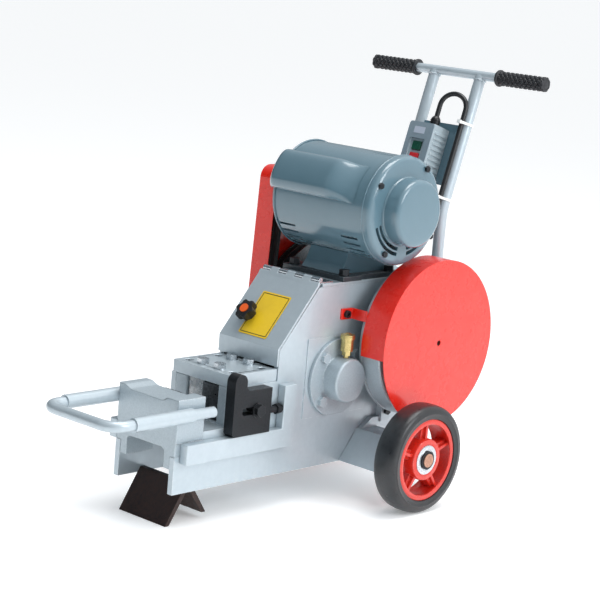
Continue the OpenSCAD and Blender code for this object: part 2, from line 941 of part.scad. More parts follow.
module stop_plate() {
    color("black")
        difference() {
            along_x(half_w + joint_gap, stop_x1)
                difference() {
                    union() {
                        polygon([[-187, 152], [-100, 152], [-100, 232], [-157, 232], [-163, 238],
                            [-163, 247.5], [-192, 247.5], [-192, 158]]);
                        translate([-177.5, 247.5])
                            circle(r = 14.5);
                    }
                    translate([slot_y[0], slot_bolt_c[1] - 7])
                        square([slot_y[1] - slot_y[0], 14]);
                    for (y = slot_y)
                        translate([y, slot_bolt_c[1]])
                            circle(r = 7);
                }
        }
}

module stop_lock_bolt() {
    color("gainsboro") {
        rod_x(inner_w + 2, stop_x1 + 2.4, 6, slot_bolt_c);
        ring_x(stop_x1 + joint_gap, stop_x1 + 2.4, 13, 6, slot_bolt_c);
        hex_x(stop_x1 + 2.4, stop_x1 + 10, 19, slot_bolt_c);
    }
}

// Screw with its lock nut, in front of the upright
module stop_adjuster() {
    color("gray")
        translate([half_w + 9, -99.6, adjuster_z])
            rotate([-90, 0, 0]) {
                cylinder(h = 63, r = 6);
                translate([0, 0, 24])
                    rotate(30)
                        cylinder(h = 9, d = 17 / cos(30), $fn = 6);
            }
}

// ---- Handles --------------------------------------------------------------------------------

module carry_sleeves() {
    color("silver")
        for (s = [-1, 1])
            difference() {
                translate([s * carry_x, -415, carry_z])
                    rotate([-90, 0, 0])
                        difference() {
                            cylinder(h = 133, r = sleeve_r);
                            translate([0, 0, -1])
                                cylinder(h = 140, r = carry_r + joint_gap);
                        }
                block([-75, front_y, 104], [75, block_y1, 227]);
            }
}

// U-shaped bar that slides in the sleeves
module carry_handle() {
    bend = 30;
    color("gainsboro")
        translate([0, 0, carry_z]) {
            for (s = [-1, 1]) {
                translate([s * carry_x, carry_y0 + carry_r + bend, 0])
                    rotate([-90, 0, 0])
                        cylinder(h = -232 - carry_y0 - carry_r - bend, r = carry_r);
                translate([s * (carry_x - bend), carry_y0 + carry_r + bend, 0])
                    rotate(s > 0 ? -90 : 180)
                        rotate_extrude(angle = 90)
                            translate([bend, 0])
                                circle(r = carry_r);
            }
            translate([bend - carry_x, carry_y0 + carry_r, 0])
                rotate([0, 90, 0])
                    cylinder(h = 2 * (carry_x - bend), r = carry_r);
        }
}

// Bent tubes, their lugs on the rear wall, and the cross bar
module push_handle() {
    bend_r = 120;
    bend_h = bend_r * tan(lean / 2);
    color("gainsboro") {
        difference() {
            union()
                for (x = [-tube_x, tube_x])
                    translate([x, tube_bend[0], 0]) {
                        translate([0, 0, 180])
                            cylinder(h = tube_bend[1] - bend_h - 180, r = tube_r);
                        translate([0, bend_r, tube_bend[1] - bend_h])
                            rotate([90, 0, -90])
                                rotate_extrude(angle = lean, $fn = 96)
                                    translate([bend_r, 0])
                                        circle(r = tube_r, $fn = 32);
                        translate([0, 0, tube_bend[1]])
                            rotate([-lean, 0, 0])
                                translate([0, 0, bend_h])
                                    cylinder(h = norm(tube_top - tube_bend) - bend_h, r = tube_r);
                    }
            rod_x(-handle_half_w, handle_half_w, 9, tube_top);
        }
        difference() {
            for (x = [-tube_x, tube_x], z = [210, 350])
                block([x - 7, rear_y, z - 14], [x + 7, tube_bend[0] - 4, z + 14]);
            for (x = [-tube_x, tube_x])
                translate([x, tube_bend[0], 170])
                    cylinder(h = 230, r = tube_r);
        }
        rod_x(-handle_half_w + 3, handle_half_w - 3, 9, tube_top);
    }
}

module handle_grips() {
    color("black")
        for (s = [0, 1])
            mirror([s, 0, 0])
                difference() {
                    union() {
                        rod_x(100, handle_half_w, 13, tube_top);
                        rod_x(98, 104, 16, tube_top);
                    }
                    rod_x(96, handle_half_w - 3, 9, tube_top);
                }
}

// ---- Switch -----------------------------------------------------------------------------------

// Places children in the switch's frame: X across, Y away from the face, Z up along the tubes
module at_switch() {
    translate([0, tube_bend[0], tube_bend[1]])
        rotate([-lean, 0, 0])
            children();
}

module switch_plate() {
    color("slategray")
        at_switch()
            difference() {
                block([-tube_x, -2, 48], [tube_x, 2, plate_top]);
                for (x = [-tube_x, tube_x])
                    translate([x, 0, 40])
                        cylinder(h = 150, r = tube_r);
            }
}

module switch_box() {
    color("lightgray")
        at_switch()
            difference() {
                union() {
                    block([-38, -50, switch_z[0]], [22, -2, switch_z[1]]);
                    for (x = [-40, 22], k = [0 : 7])
                        block([x, -44, switch_z[0] + 8 + 10 * k], [x + 2, -6, switch_z[0] + 13 + 10 * k]);
                    translate([4, -30, switch_z[1]])
                        cylinder(h = 14, r = 9);
                }
                block([-27, -51, 70], [9, -46, 122]);
                for (z = button_z)
                    block([-21, -50, z - 9], [1, -30, z + 9]);
                translate([4, -30, switch_z[1] - 10])
                    cylinder(h = 40, r = cable_r + 0.2);
            }
}

// Push button with its centre at height z on the box
module switch_button(z) {
    at_switch()
        block([-20.6, -48.5, z - 8.6], [0.6, -35, z + 8.6]);
}

module on_button() {
    color("green")
        switch_button(button_z[1]);
}

module off_button() {
    color("red")
        switch_button(button_z[0]);
}

// Round cord through a list of points; its section keeps clear of the direction side
module cord(path, r, side, sides = 24) {
    n = len(path);
    skin = [for (i = [0 : n - 1])
        let (
            ahead = path[min(i + 1, n - 1)] - path[max(i - 1, 0)],
            across = cross(side, ahead) / norm(cross(side, ahead)),
            up = cross(across, ahead) / norm(ahead)
        )
        for (k = [0 : sides - 1]) path[i] + r * (cos(360 * k / sides) * across + sin(360 * k / sides) * up)];
    polyhedron(skin, concat(
        [[for (k = [sides - 1 : -1 : 0]) k]],
        [[for (k = [0 : sides - 1]) (n - 1) * sides + k]],
        [for (i = [0 : n - 2], k = [0 : sides - 1])
            let (a = i * sides + k, b = i * sides + (k + 1) % sides)
                each [[a, b, b + sides], [a, b + sides, a + sides]]]
    ));
}

// Cable from the gland over to the right tube, down the tube and forward into the motor, with its ties
module switch_cable() {
    start = [4, -30, switch_z[1] - 8];
    reach = [tube_x - start[0], -cable_off - start[1], 0];
    loop_r = norm(reach) / 2;
    over = reach / norm(reach);
    loop_z = 196;
    turn = 90 - lean;
    bend = [tube_x, -cable_off - cable_turn_r, cable_turn_z];
    bend_end = bend + cable_turn_r * [0, cos(turn), -sin(turn)];
    color("black")
        at_switch()
            cord(concat(
                [start],
                [for (a = [0 : 9 : 180]) [start[0], start[1], loop_z] + loop_r * (1 - cos(a)) * over
                    + [0, 0, loop_r * sin(a)]],
                [for (k = [0 : 8]) let (a = turn * k / 8) bend + cable_turn_r * [0, cos(a), -sin(a)]],
                [bend_end + (cable_turn_c[0] - cable_end_y) * [0, -sin(turn), -cos(turn)]]
            ), cable_r, [-over[1], over[0], 0]);
    color("white")
        at_switch()
            for (z = [20, plate_top + 1])
                translate([0, 0, z])
                    linear_extrude(5)
                        difference() {
                            tie_outline(1.7);
                            tie_outline(0.3);
                        }
}

// Outline around the tube and the cable, a distance outside them
module tie_outline(d) {
    polygon(tangent_loop([tube_x, 0], tube_r + d, [tube_x, -cable_off], cable_r + d, 15));
}

// ---- Wheels -----------------------------------------------------------------------------------

// Spoked rim with its bearings; the axle is the X axis through the wheel's centre
module wheel_rim() {
    x1 = wheel_x1;
    x0 = wheel_x1 - tyre_w;
    ring_x(x0 + 3, x1 - 3, 75, 66, axle_c);
    ring_x(x0 + 4, x1 - 3, 38, 29, axle_c);
    for (a = [18 : 72 : 306])
        translate([0, axle_c[0], axle_c[1]])
            rotate([a, 0, 0])
                block([x0 + 12, -7, 35], [x1 - 12, 7, 67.5]);
    ring_x(x0 + 5, x0 + 20, 29, 12.55, axle_c);
    ring_x(x1 - 20, x1 - 4, 29, 12.55, axle_c);
}

module tyre() {
    x1 = wheel_x1;
    x0 = wheel_x1 - tyre_w;
    turned_x([[75, x0 + 2], [88, x0], [95, x0 + 3], [99, x0 + 10], [tyre_r, x0 + 17], [tyre_r, x1 - 17],
        [99, x1 - 10], [95, x1 - 3], [88, x1], [75, x1 - 2]], axle_c);
}

module wheel_rims_right() {
    color("crimson")
        wheel_rim();
}

module wheel_rims_left() {
    color("crimson")
        mirror([1, 0, 0])
            wheel_rim();
}

module tyre_right() {
    color("black")
        tyre();
}

module tyre_left() {
    color("black")
        mirror([1, 0, 0])
            tyre();
}

side_plate_right();
side_plate_left();
body_shell();
front_block();
fixed_blade();
ram_guide();
top_plate();
top_plate_bolts();
top_plate_screws();
rail_right();
rail_left();
front_foot();
axle_bracket();
stub_axles();
axle_clips();
bearing_caps();
bearing_cap_bolts();
oil_cup();
oil_cup_lid();
shaft_housings();
lid_hinge();
inspection_lid();
lid_knob();
motor_base();
motor_bolts();
motor_shell();
motor_stator();
motor_end_bells();
motor_fan_cover();
capacitor_cover();
motor_rotor();
motor_pulley();
drive_belt();
belt_guard();
driven_pulley();
flywheel_shaft();
flywheel();
flywheel_cover();
side_screws();
crankshaft();
main_gear();
connecting_rod();
ram();
moving_blade();
stop_plate();
stop_lock_bolt();
stop_adjuster();
carry_sleeves();
carry_handle();
push_handle();
handle_grips();
switch_plate();
switch_box();
on_button();
off_button();
switch_cable();
wheel_rims_right();
wheel_rims_left();
tyre_right();
tyre_left();
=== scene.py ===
"""Looks of a wheeled rebar cutter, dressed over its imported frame."""

import json
import logging
import math
from collections.abc import Callable, Sequence
from dataclasses import dataclass
from enum import Enum

import bmesh
import bpy
from mathutils import Matrix, Vector


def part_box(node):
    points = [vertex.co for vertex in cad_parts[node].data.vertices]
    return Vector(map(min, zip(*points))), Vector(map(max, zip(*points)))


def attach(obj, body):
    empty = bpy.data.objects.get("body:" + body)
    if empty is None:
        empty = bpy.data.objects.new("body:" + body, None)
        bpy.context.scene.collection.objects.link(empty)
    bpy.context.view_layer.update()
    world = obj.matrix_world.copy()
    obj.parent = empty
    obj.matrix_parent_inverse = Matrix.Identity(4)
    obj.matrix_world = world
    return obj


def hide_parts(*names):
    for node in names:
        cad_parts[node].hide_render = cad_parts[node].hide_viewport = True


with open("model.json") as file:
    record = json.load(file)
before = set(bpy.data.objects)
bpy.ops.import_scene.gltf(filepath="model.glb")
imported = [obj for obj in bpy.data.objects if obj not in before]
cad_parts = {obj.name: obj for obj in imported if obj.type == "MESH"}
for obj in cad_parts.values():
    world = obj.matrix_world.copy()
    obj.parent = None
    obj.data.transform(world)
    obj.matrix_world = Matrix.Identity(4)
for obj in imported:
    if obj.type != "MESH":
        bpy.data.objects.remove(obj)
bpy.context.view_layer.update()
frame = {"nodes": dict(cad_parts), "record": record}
MM = 0.001
LOG = logging.getLogger("rebar_cutter")


# Lean of the push handle's tubes above their bend
TUBE_LEAN = math.atan2(80, 258)


# ---- Finishes -------------------------------------------------------------------------------


def linear(code: str) -> tuple[float, float, float, float]:
    """Turns an sRGB hex colour to linear.

    Args:
        code: The colour as six hex digits after a hash sign.

    Returns:
        Linear red, green and blue, and full alpha.
    """
    parts = [int(code[i : i + 2], 16) / 255 for i in (1, 3, 5)]
    lin = [c / 12.92 if c <= 0.04045 else ((c + 0.055) / 1.055) ** 2.4 for c in parts]
    return (lin[0], lin[1], lin[2], 1.0)


def add_node(
    tree: bpy.types.NodeTree,
    kind: str,
    sockets: dict[str | int, object] | None = None,
    **settings: object,
) -> bpy.types.Node:
    """Adds one shader node.

    Args:
        tree: The node tree it goes into.
        kind: The node's type.
        sockets: Value, or socket to link from, for each input.
        **settings: Properties of the node.

    Returns:
        The new node.
    """
    made = tree.nodes.new(kind)
    for name, value in settings.items():
        setattr(made, name, value)
    for key, value in (sockets or {}).items():
        if isinstance(value, bpy.types.NodeSocket):
            tree.links.new(value, made.inputs[key])
        else:
            made.inputs[key].default_value = value
    return made


class Grain(Enum):
    """How the surface was made, which sets the pattern of its fine relief."""

    SPRAYED = "sprayed"
    CAST = "cast"
    TURNED = "turned"
    ROLLED = "rolled"
    MOULDED = "moulded"


# Stretch of the fine relief along X, Y and Z for each way of making a surface
STRETCH = {
    Grain.SPRAYED: (1.0, 1.0, 1.0),
    Grain.CAST: (1.0, 1.0, 1.0),
    Grain.TURNED: (9.0, 1.0, 1.0),
    Grain.ROLLED: (1.0, 0.25, 1.0),
    Grain.MOULDED: (1.0, 1.0, 1.0),
}


@dataclass(frozen=True)
class Finish:
    """One real surface finish.

    Attributes:
        name: Common name of the material and its making.
        colour: Main colour, sRGB hex.
        shade: Second colour that mottles the first.
        mottle_mm: Size of the mottled patches.
        mottle: How strongly the second colour comes in.
        grain: How the surface was made.
        grain_mm: Size of the fine relief.
        depth_mm: Depth of the fine relief.
        roughness: Mean roughness.
        spread: How far the roughness varies to either side.
        metallic: 1 for bare metal, less for flake paint.
        coat: Weight of the clear top layer.
        wear_and_highlight: Colour laid along the edges: worn bare metal on the steels, a painted highlight
            (a paler tint of the paint) on the silver, blue-grey and red enamels.
        wear_and_highlight_share: How much of the edges takes that colour.
        wear_and_highlight_mm: Width of that edge band.
    """

    name: str
    colour: str
    shade: str
    mottle_mm: float
    mottle: float
    grain: Grain
    grain_mm: float
    depth_mm: float
    roughness: float
    spread: float
    metallic: float = 0.0
    coat: float = 0.0
    # Edge colour and band: worn bare metal on the steels, a painted highlight where it is a paler tint of
    # the paint
    wear_and_highlight: str = "#FFFFFF"
    wear_and_highlight_share: float = 0.0
    wear_and_highlight_mm: float = 1.5

    def material(self) -> bpy.types.Material:
        """Returns the finish's material, built the first time it is asked for."""
        found = bpy.data.materials.get(self.name)
        return found if found else self._build()

    def _build(self) -> bpy.types.Material:
        """Builds the node tree of the finish.

        Returns:
            The new material.
        """
        made = bpy.data.materials.new(self.name)
        made.use_nodes = True
        tree = made.node_tree
        tree.nodes.clear()
        place = add_node(tree, "ShaderNodeTexCoord").outputs["Object"]
        stretched = add_node(
            tree, "ShaderNodeMapping", {"Vector": place, "Scale": STRETCH[self.grain]}
        ).outputs["Vector"]
        patches = add_node(
            tree,
            "ShaderNodeTexNoise",
            {"Vector": place, "Scale": 1 / (self.mottle_mm * MM), "Detail": 4.0, "Roughness": 0.62},
        ).outputs["Fac"]
        clouds = add_node(
            tree, "ShaderNodeTexNoise", {"Vector": place, "Scale": 9.0, "Detail": 3.0}
        ).outputs["Fac"]
        relief = add_node(
            tree,
            "ShaderNodeTexNoise",
            {"Vector": stretched, "Scale": 1 / (self.grain_mm * MM), "Detail": 5.0, "Roughness": 0.6},
        ).outputs["Fac"]
        share = add_node(
            tree,
            "ShaderNodeMapRange",
            {"Value": patches, "From Min": 0.36, "From Max": 0.64, "To Max": self.mottle},
        ).outputs["Result"]
        colour = add_node(
            tree,
            "ShaderNodeMix",
            {"Factor": share, "A": linear(self.colour), "B": linear(self.shade)},
            data_type="RGBA",
        ).outputs["Result"]
        colour = add_node(
            tree,
            "ShaderNodeMix",
            {
                "Factor": add_node(
                    tree,
                    "ShaderNodeMapRange",
                    {"Value": clouds, "From Min": 0.42, "From Max": 0.75, "To Max": 0.55 * self.mottle},
                ).outputs["Result"],
                "A": colour,
                "B": linear(self.shade),
            },
            data_type="RGBA",
        ).outputs["Result"]
        # Edge band: a painted highlight on the enamels, real wear on the bare steels
        if self.wear_and_highlight_share:
            colour = self._worn_and_highlit_edges(tree, colour, patches)
        rough = add_node(
            tree,
            "ShaderNodeMapRange",
            {
                "Value": patches,
                "From Min": 0.3,
                "From Max": 0.7,
                "To Min": max(self.roughness - self.spread, 0.02),
                "To Max": min(self.roughness + self.spread, 1.0),
            },
        ).outputs["Result"]
        bump = add_node(
            tree,
            "ShaderNodeBump",
            {"Height": relief, "Distance": self.depth_mm * MM, "Strength": 1.0},
        ).outputs["Normal"]
        surface = add_node(
            tree,
            "ShaderNodeBsdfPrincipled",
            {
                "Base Color": colour,
                "Roughness": rough,
                "Normal": bump,
                "Metallic": self.metallic,
                "Coat Weight": self.coat,
                "Coat Roughness": 0.12,
            },
        )
        add_node(tree, "ShaderNodeOutputMaterial", {"Surface": surface.outputs["BSDF"]})
        return made

    def _worn_and_highlit_edges(
        self, tree: bpy.types.NodeTree, colour: bpy.types.NodeSocket, patches: bpy.types.NodeSocket
    ) -> bpy.types.NodeSocket:
        """Lays the edge colour along the edges: worn bare metal on the steels, a painted highlight where it
        is a paler tint of the paint.

        Args:
            tree: The material's node tree.
            colour: The colour so far.
            patches: Noise that breaks the edge band up.

        Returns:
            The colour with its edge band: worn metal on the steels, painted highlight on the enamels.
        """
        rounded = add_node(tree, "ShaderNodeBevel", {"Radius": self.wear_and_highlight_mm * MM}, samples=4)
        flat = add_node(tree, "ShaderNodeNewGeometry").outputs["Normal"]
        agree = add_node(
            tree,
            "ShaderNodeVectorMath",
            {0: rounded.outputs["Normal"], 1: flat},
            operation="DOT_PRODUCT",
        ).outputs["Value"]
        edge = add_node(
            tree, "ShaderNodeMapRange", {"Value": agree, "From Min": 0.985, "From Max": 0.86}
        ).outputs["Result"]
        broken = add_node(
            tree,
            "ShaderNodeMapRange",
            {"Value": patches, "From Min": 0.62, "From Max": 0.4, "To Max": self.wear_and_highlight_share},
        ).outputs["Result"]
        amount = add_node(tree, "ShaderNodeMath", {0: edge, 1: broken}, operation="MULTIPLY")
        # Mixes in the edge colour, which paints a highlight on the enamels and shows worn metal on the
        # steels
        return add_node(
            tree,
            "ShaderNodeMix",
            {"Factor": amount.outputs["Value"], "A": colour, "B": linear(self.wear_and_highlight)},
            data_type="RGBA",
        ).outputs["Result"]


# Flake enamel sprayed on rolled plate: a soft silver with a faint bluish mottling; its near-white edge
# colour is a painted highlight
SILVER_ENAMEL = Finish(
    "silver_flake_enamel", "#BCC8CF", "#ABB8C0", 12.0, 0.25, Grain.SPRAYED, 1.6, 0.02, 0.34, 0.05,
    metallic=0.35, coat=0.25, wear_and_highlight="#EEF1F3", wear_and_highlight_share=0.75, wear_and_highlight_mm=1.6,
)
# The same enamel over sand-cast iron: coarse speckle, and bright corners and edges that are a painted
# highlight
SILVER_CASTING = Finish(
    "silver_enamel_on_sand_casting", "#B3BFC6", "#98A5AD", 3.0, 0.35, Grain.CAST, 2.4, 0.22, 0.4, 0.08,
    metallic=0.35, coat=0.15, wear_and_highlight="#F2F4F5", wear_and_highlight_share=0.9, wear_and_highlight_mm=2.2,
)
# Charcoal enamel of the motor's base: dull, paler grey along the edges
DARK_ENAMEL = Finish(
    "charcoal_enamel", "#3A4247", "#22282C", 6.0, 0.5, Grain.SPRAYED, 1.4, 0.06, 0.42, 0.1,
    coat=0.2, wear_and_highlight="#B9C0C4", wear_and_highlight_share=0.8, wear_and_highlight_mm=1.2,
)
# Gloss enamel of the motor: smooth blue-grey with crisp highlights; its paler blue-grey edge colour is a
# painted highlight
MOTOR_ENAMEL = Finish(
    "gloss_blue_grey_enamel", "#5E7B88", "#567380", 30.0, 0.2, Grain.SPRAYED, 3.0, 0.008, 0.22, 0.03,
    coat=0.9, wear_and_highlight="#A9BCC4", wear_and_highlight_share=0.5, wear_and_highlight_mm=1.0,
)
# Gloss enamel of the guards: saturated orange-red; its pink edge colour is a painted highlight
RED_ENAMEL = Finish(
    "gloss_red_enamel", "#EA2413", "#DC1F10", 30.0, 0.2, Grain.SPRAYED, 2.4, 0.01, 0.28, 0.05,
    coat=0.5, wear_and_highlight="#FF7A66", wear_and_highlight_share=0.5, wear_and_highlight_mm=1.0,
)
# Enamel on the cast wheels: the same red, deeper and uneven; its pink edge colour is a painted highlight
RED_CASTING = Finish(
    "red_enamel_on_casting", "#E03020", "#A81A12", 3.0, 0.5, Grain.CAST, 1.8, 0.18, 0.34, 0.08,
    coat=0.35, wear_and_highlight="#F79A8C", wear_and_highlight_share=0.6, wear_and_highlight_mm=1.2,
)
# Ground and hardened tool steel: dark, with fine grinding lines
TOOL_STEEL = Finish(
    "ground_tool_steel", "#6E7174", "#3C3F42", 5.0, 0.6, Grain.ROLLED, 1.2, 0.05, 0.34, 0.1,
    metallic=1.0, wear_and_highlight="#D5D8DA", wear_and_highlight_share=0.8, wear_and_highlight_mm=0.8,
)
# Oiled machined steel: clean grey with lathe lines
MACHINED_STEEL = Finish(
    "oiled_machined_steel", "#A9ACAE", "#808386", 8.0, 0.4, Grain.TURNED, 1.0, 0.03, 0.28, 0.08,
    metallic=1.0,
)
# Turned axle end with heat tint: warm and bright
AXLE_STEEL = Finish(
    "turned_axle_steel", "#C59A84", "#8C6656", 3.0, 0.6, Grain.TURNED, 0.9, 0.05, 0.36, 0.1,
    metallic=0.9,
)
# Hot-rolled steel under mill scale: brown-black and matt
RAW_STEEL = Finish(
    "mill_scale_steel", "#2E2626", "#4A3834", 6.0, 0.7, Grain.ROLLED, 2.0, 0.14, 0.55, 0.15,
    metallic=0.55, wear_and_highlight="#8B7A6C", wear_and_highlight_share=0.9, wear_and_highlight_mm=1.6,
)
# Black oxide over steel: soft satin black
BLACK_OXIDE = Finish(
    "black_oxide_steel", "#26282B", "#3B3E42", 3.0, 0.5, Grain.CAST, 1.2, 0.06, 0.42, 0.12,
    metallic=0.7, wear_and_highlight="#8A8F93", wear_and_highlight_share=0.7, wear_and_highlight_mm=0.7,
)
# Bright zinc plate: pale, slightly blue, lightly clouded
ZINC = Finish(
    "bright_zinc_plate", "#D3D8DC", "#A6AEB5", 2.5, 0.5, Grain.SPRAYED, 1.0, 0.03, 0.26, 0.1,
    metallic=1.0,
)
# Yellow passivate over zinc: straw and olive clouds
YELLOW_ZINC = Finish(
    "yellow_passivated_zinc", "#D9C48A", "#A89A5C", 2.5, 0.6, Grain.TURNED, 1.0, 0.04, 0.3, 0.08,
    metallic=1.0,
)
# Bare grey iron: dull, grainy
CAST_IRON = Finish(
    "bare_grey_iron", "#85898C", "#55595C", 3.0, 0.6, Grain.CAST, 1.6, 0.12, 0.42, 0.12, metallic=0.9,
)
# Black nylon of the knob and cable gland: soft gloss
BLACK_PLASTIC = Finish(
    "moulded_black_nylon", "#151517", "#232326", 6.0, 0.5, Grain.MOULDED, 0.8, 0.02, 0.34, 0.08,
)
# Light grey ABS of the switch housing: even satin
GREY_PLASTIC = Finish(
    "moulded_grey_abs", "#AFBDC3", "#A3B2B9", 8.0, 0.5, Grain.MOULDED, 0.9, 0.02, 0.4, 0.06, coat=0.1,
)
# Blue-grey ABS of the switch face
PANEL_PLASTIC = Finish(
    "moulded_blue_grey_abs", "#8FA0AA", "#8494A0", 8.0, 0.5, Grain.MOULDED, 0.9, 0.02, 0.38, 0.06, coat=0.1,
)
# Glossy green button
GREEN_PLASTIC = Finish(
    "moulded_green_abs", "#1C5A45", "#154839", 5.0, 0.5, Grain.MOULDED, 0.7, 0.01, 0.24, 0.05, coat=0.4,
)
# Glossy red button
RED_PLASTIC = Finish(
    "moulded_red_abs", "#E3343A", "#C8262C", 5.0, 0.5, Grain.MOULDED, 0.7, 0.01, 0.24, 0.05, coat=0.4,
)
# Orange cap pressed into the knob
ORANGE_PLASTIC = Finish(
    "moulded_orange_cap", "#F0641E", "#D9521A", 4.0, 0.4, Grain.MOULDED, 0.7, 0.01, 0.3, 0.05, coat=0.2,
)
# White nylon of the cable ties
WHITE_PLASTIC = Finish(
    "moulded_white_nylon", "#F1F2F0", "#E3E5E3", 4.0, 0.5, Grain.MOULDED, 0.6, 0.01, 0.35, 0.05,
)
# Rubber of the grips: matt with a faint bloom
BLACK_RUBBER = Finish(
    "moulded_black_rubber", "#1A1B1E", "#303238", 5.0, 0.45, Grain.MOULDED, 0.8, 0.04, 0.48, 0.1,
)
# Sheath of the motor cable
CABLE_SHEATH = Finish(
    "black_cable_sheath", "#141517", "#202225", 6.0, 0.4, Grain.MOULDED, 0.7, 0.02, 0.32, 0.06, coat=0.1,
)
# Rubber of the belts
BELT_RUBBER = Finish(
    "belt_rubber", "#1D1D1E", "#2B2A29", 4.0, 0.5, Grain.ROLLED, 1.0, 0.06, 0.6, 0.12,
)
# Solid tyre: smooth with a soft sheen and dust in its pores
TYRE_RUBBER = Finish(
    "solid_tyre_rubber", "#191B1E", "#2A2D31", 9.0, 0.45, Grain.MOULDED, 1.4, 0.08, 0.36, 0.1, coat=0.12,
)
# Blank yellow plate, printed on foil
YELLOW_FOIL = Finish(
    "printed_yellow_foil", "#F3CB2A", "#E6BC22", 9.0, 0.3, Grain.MOULDED, 1.0, 0.01, 0.35, 0.05, coat=0.3,
)
# Black print on the plate
BLACK_FOIL = Finish(
    "printed_black_foil", "#1B1B1B", "#262626", 9.0, 0.3, Grain.MOULDED, 1.0, 0.01, 0.38, 0.05, coat=0.3,
)
# Pale blank foil on the switch housing
PALE_FOIL = Finish(
    "blank_pale_foil", "#C7D0DE", "#B7C1D2", 5.0, 0.4, Grain.MOULDED, 1.0, 0.01, 0.3, 0.05, coat=0.3,
)

# Finish of every CAD node, by its material slot
SLOT_FINISH = {
    "silver_enamel": SILVER_ENAMEL,
    "silver_casting": SILVER_CASTING,
    "dark_enamel": DARK_ENAMEL,
    "motor_enamel": MOTOR_ENAMEL,
    "red_enamel": RED_ENAMEL,
    "red_casting": RED_CASTING,
    "tool_steel": TOOL_STEEL,
    "machined_steel": MACHINED_STEEL,
    "axle_steel": AXLE_STEEL,
    "raw_steel": RAW_STEEL,
    "black_oxide": BLACK_OXIDE,
    "zinc_fasteners": ZINC,
    "painted_fasteners": SILVER_CASTING,
    "yellow_zinc": YELLOW_ZINC,
    "cast_iron": CAST_IRON,
    "black_plastic": BLACK_PLASTIC,
    "grey_plastic": GREY_PLASTIC,
    "green_plastic": GREEN_PLASTIC,
    "red_plastic": RED_PLASTIC,
    "black_rubber": BLACK_RUBBER,
    "belt_rubber": BELT_RUBBER,
    "tyre_rubber": TYRE_RUBBER,
}


# ---- Making pieces --------------------------------------------------------------------------


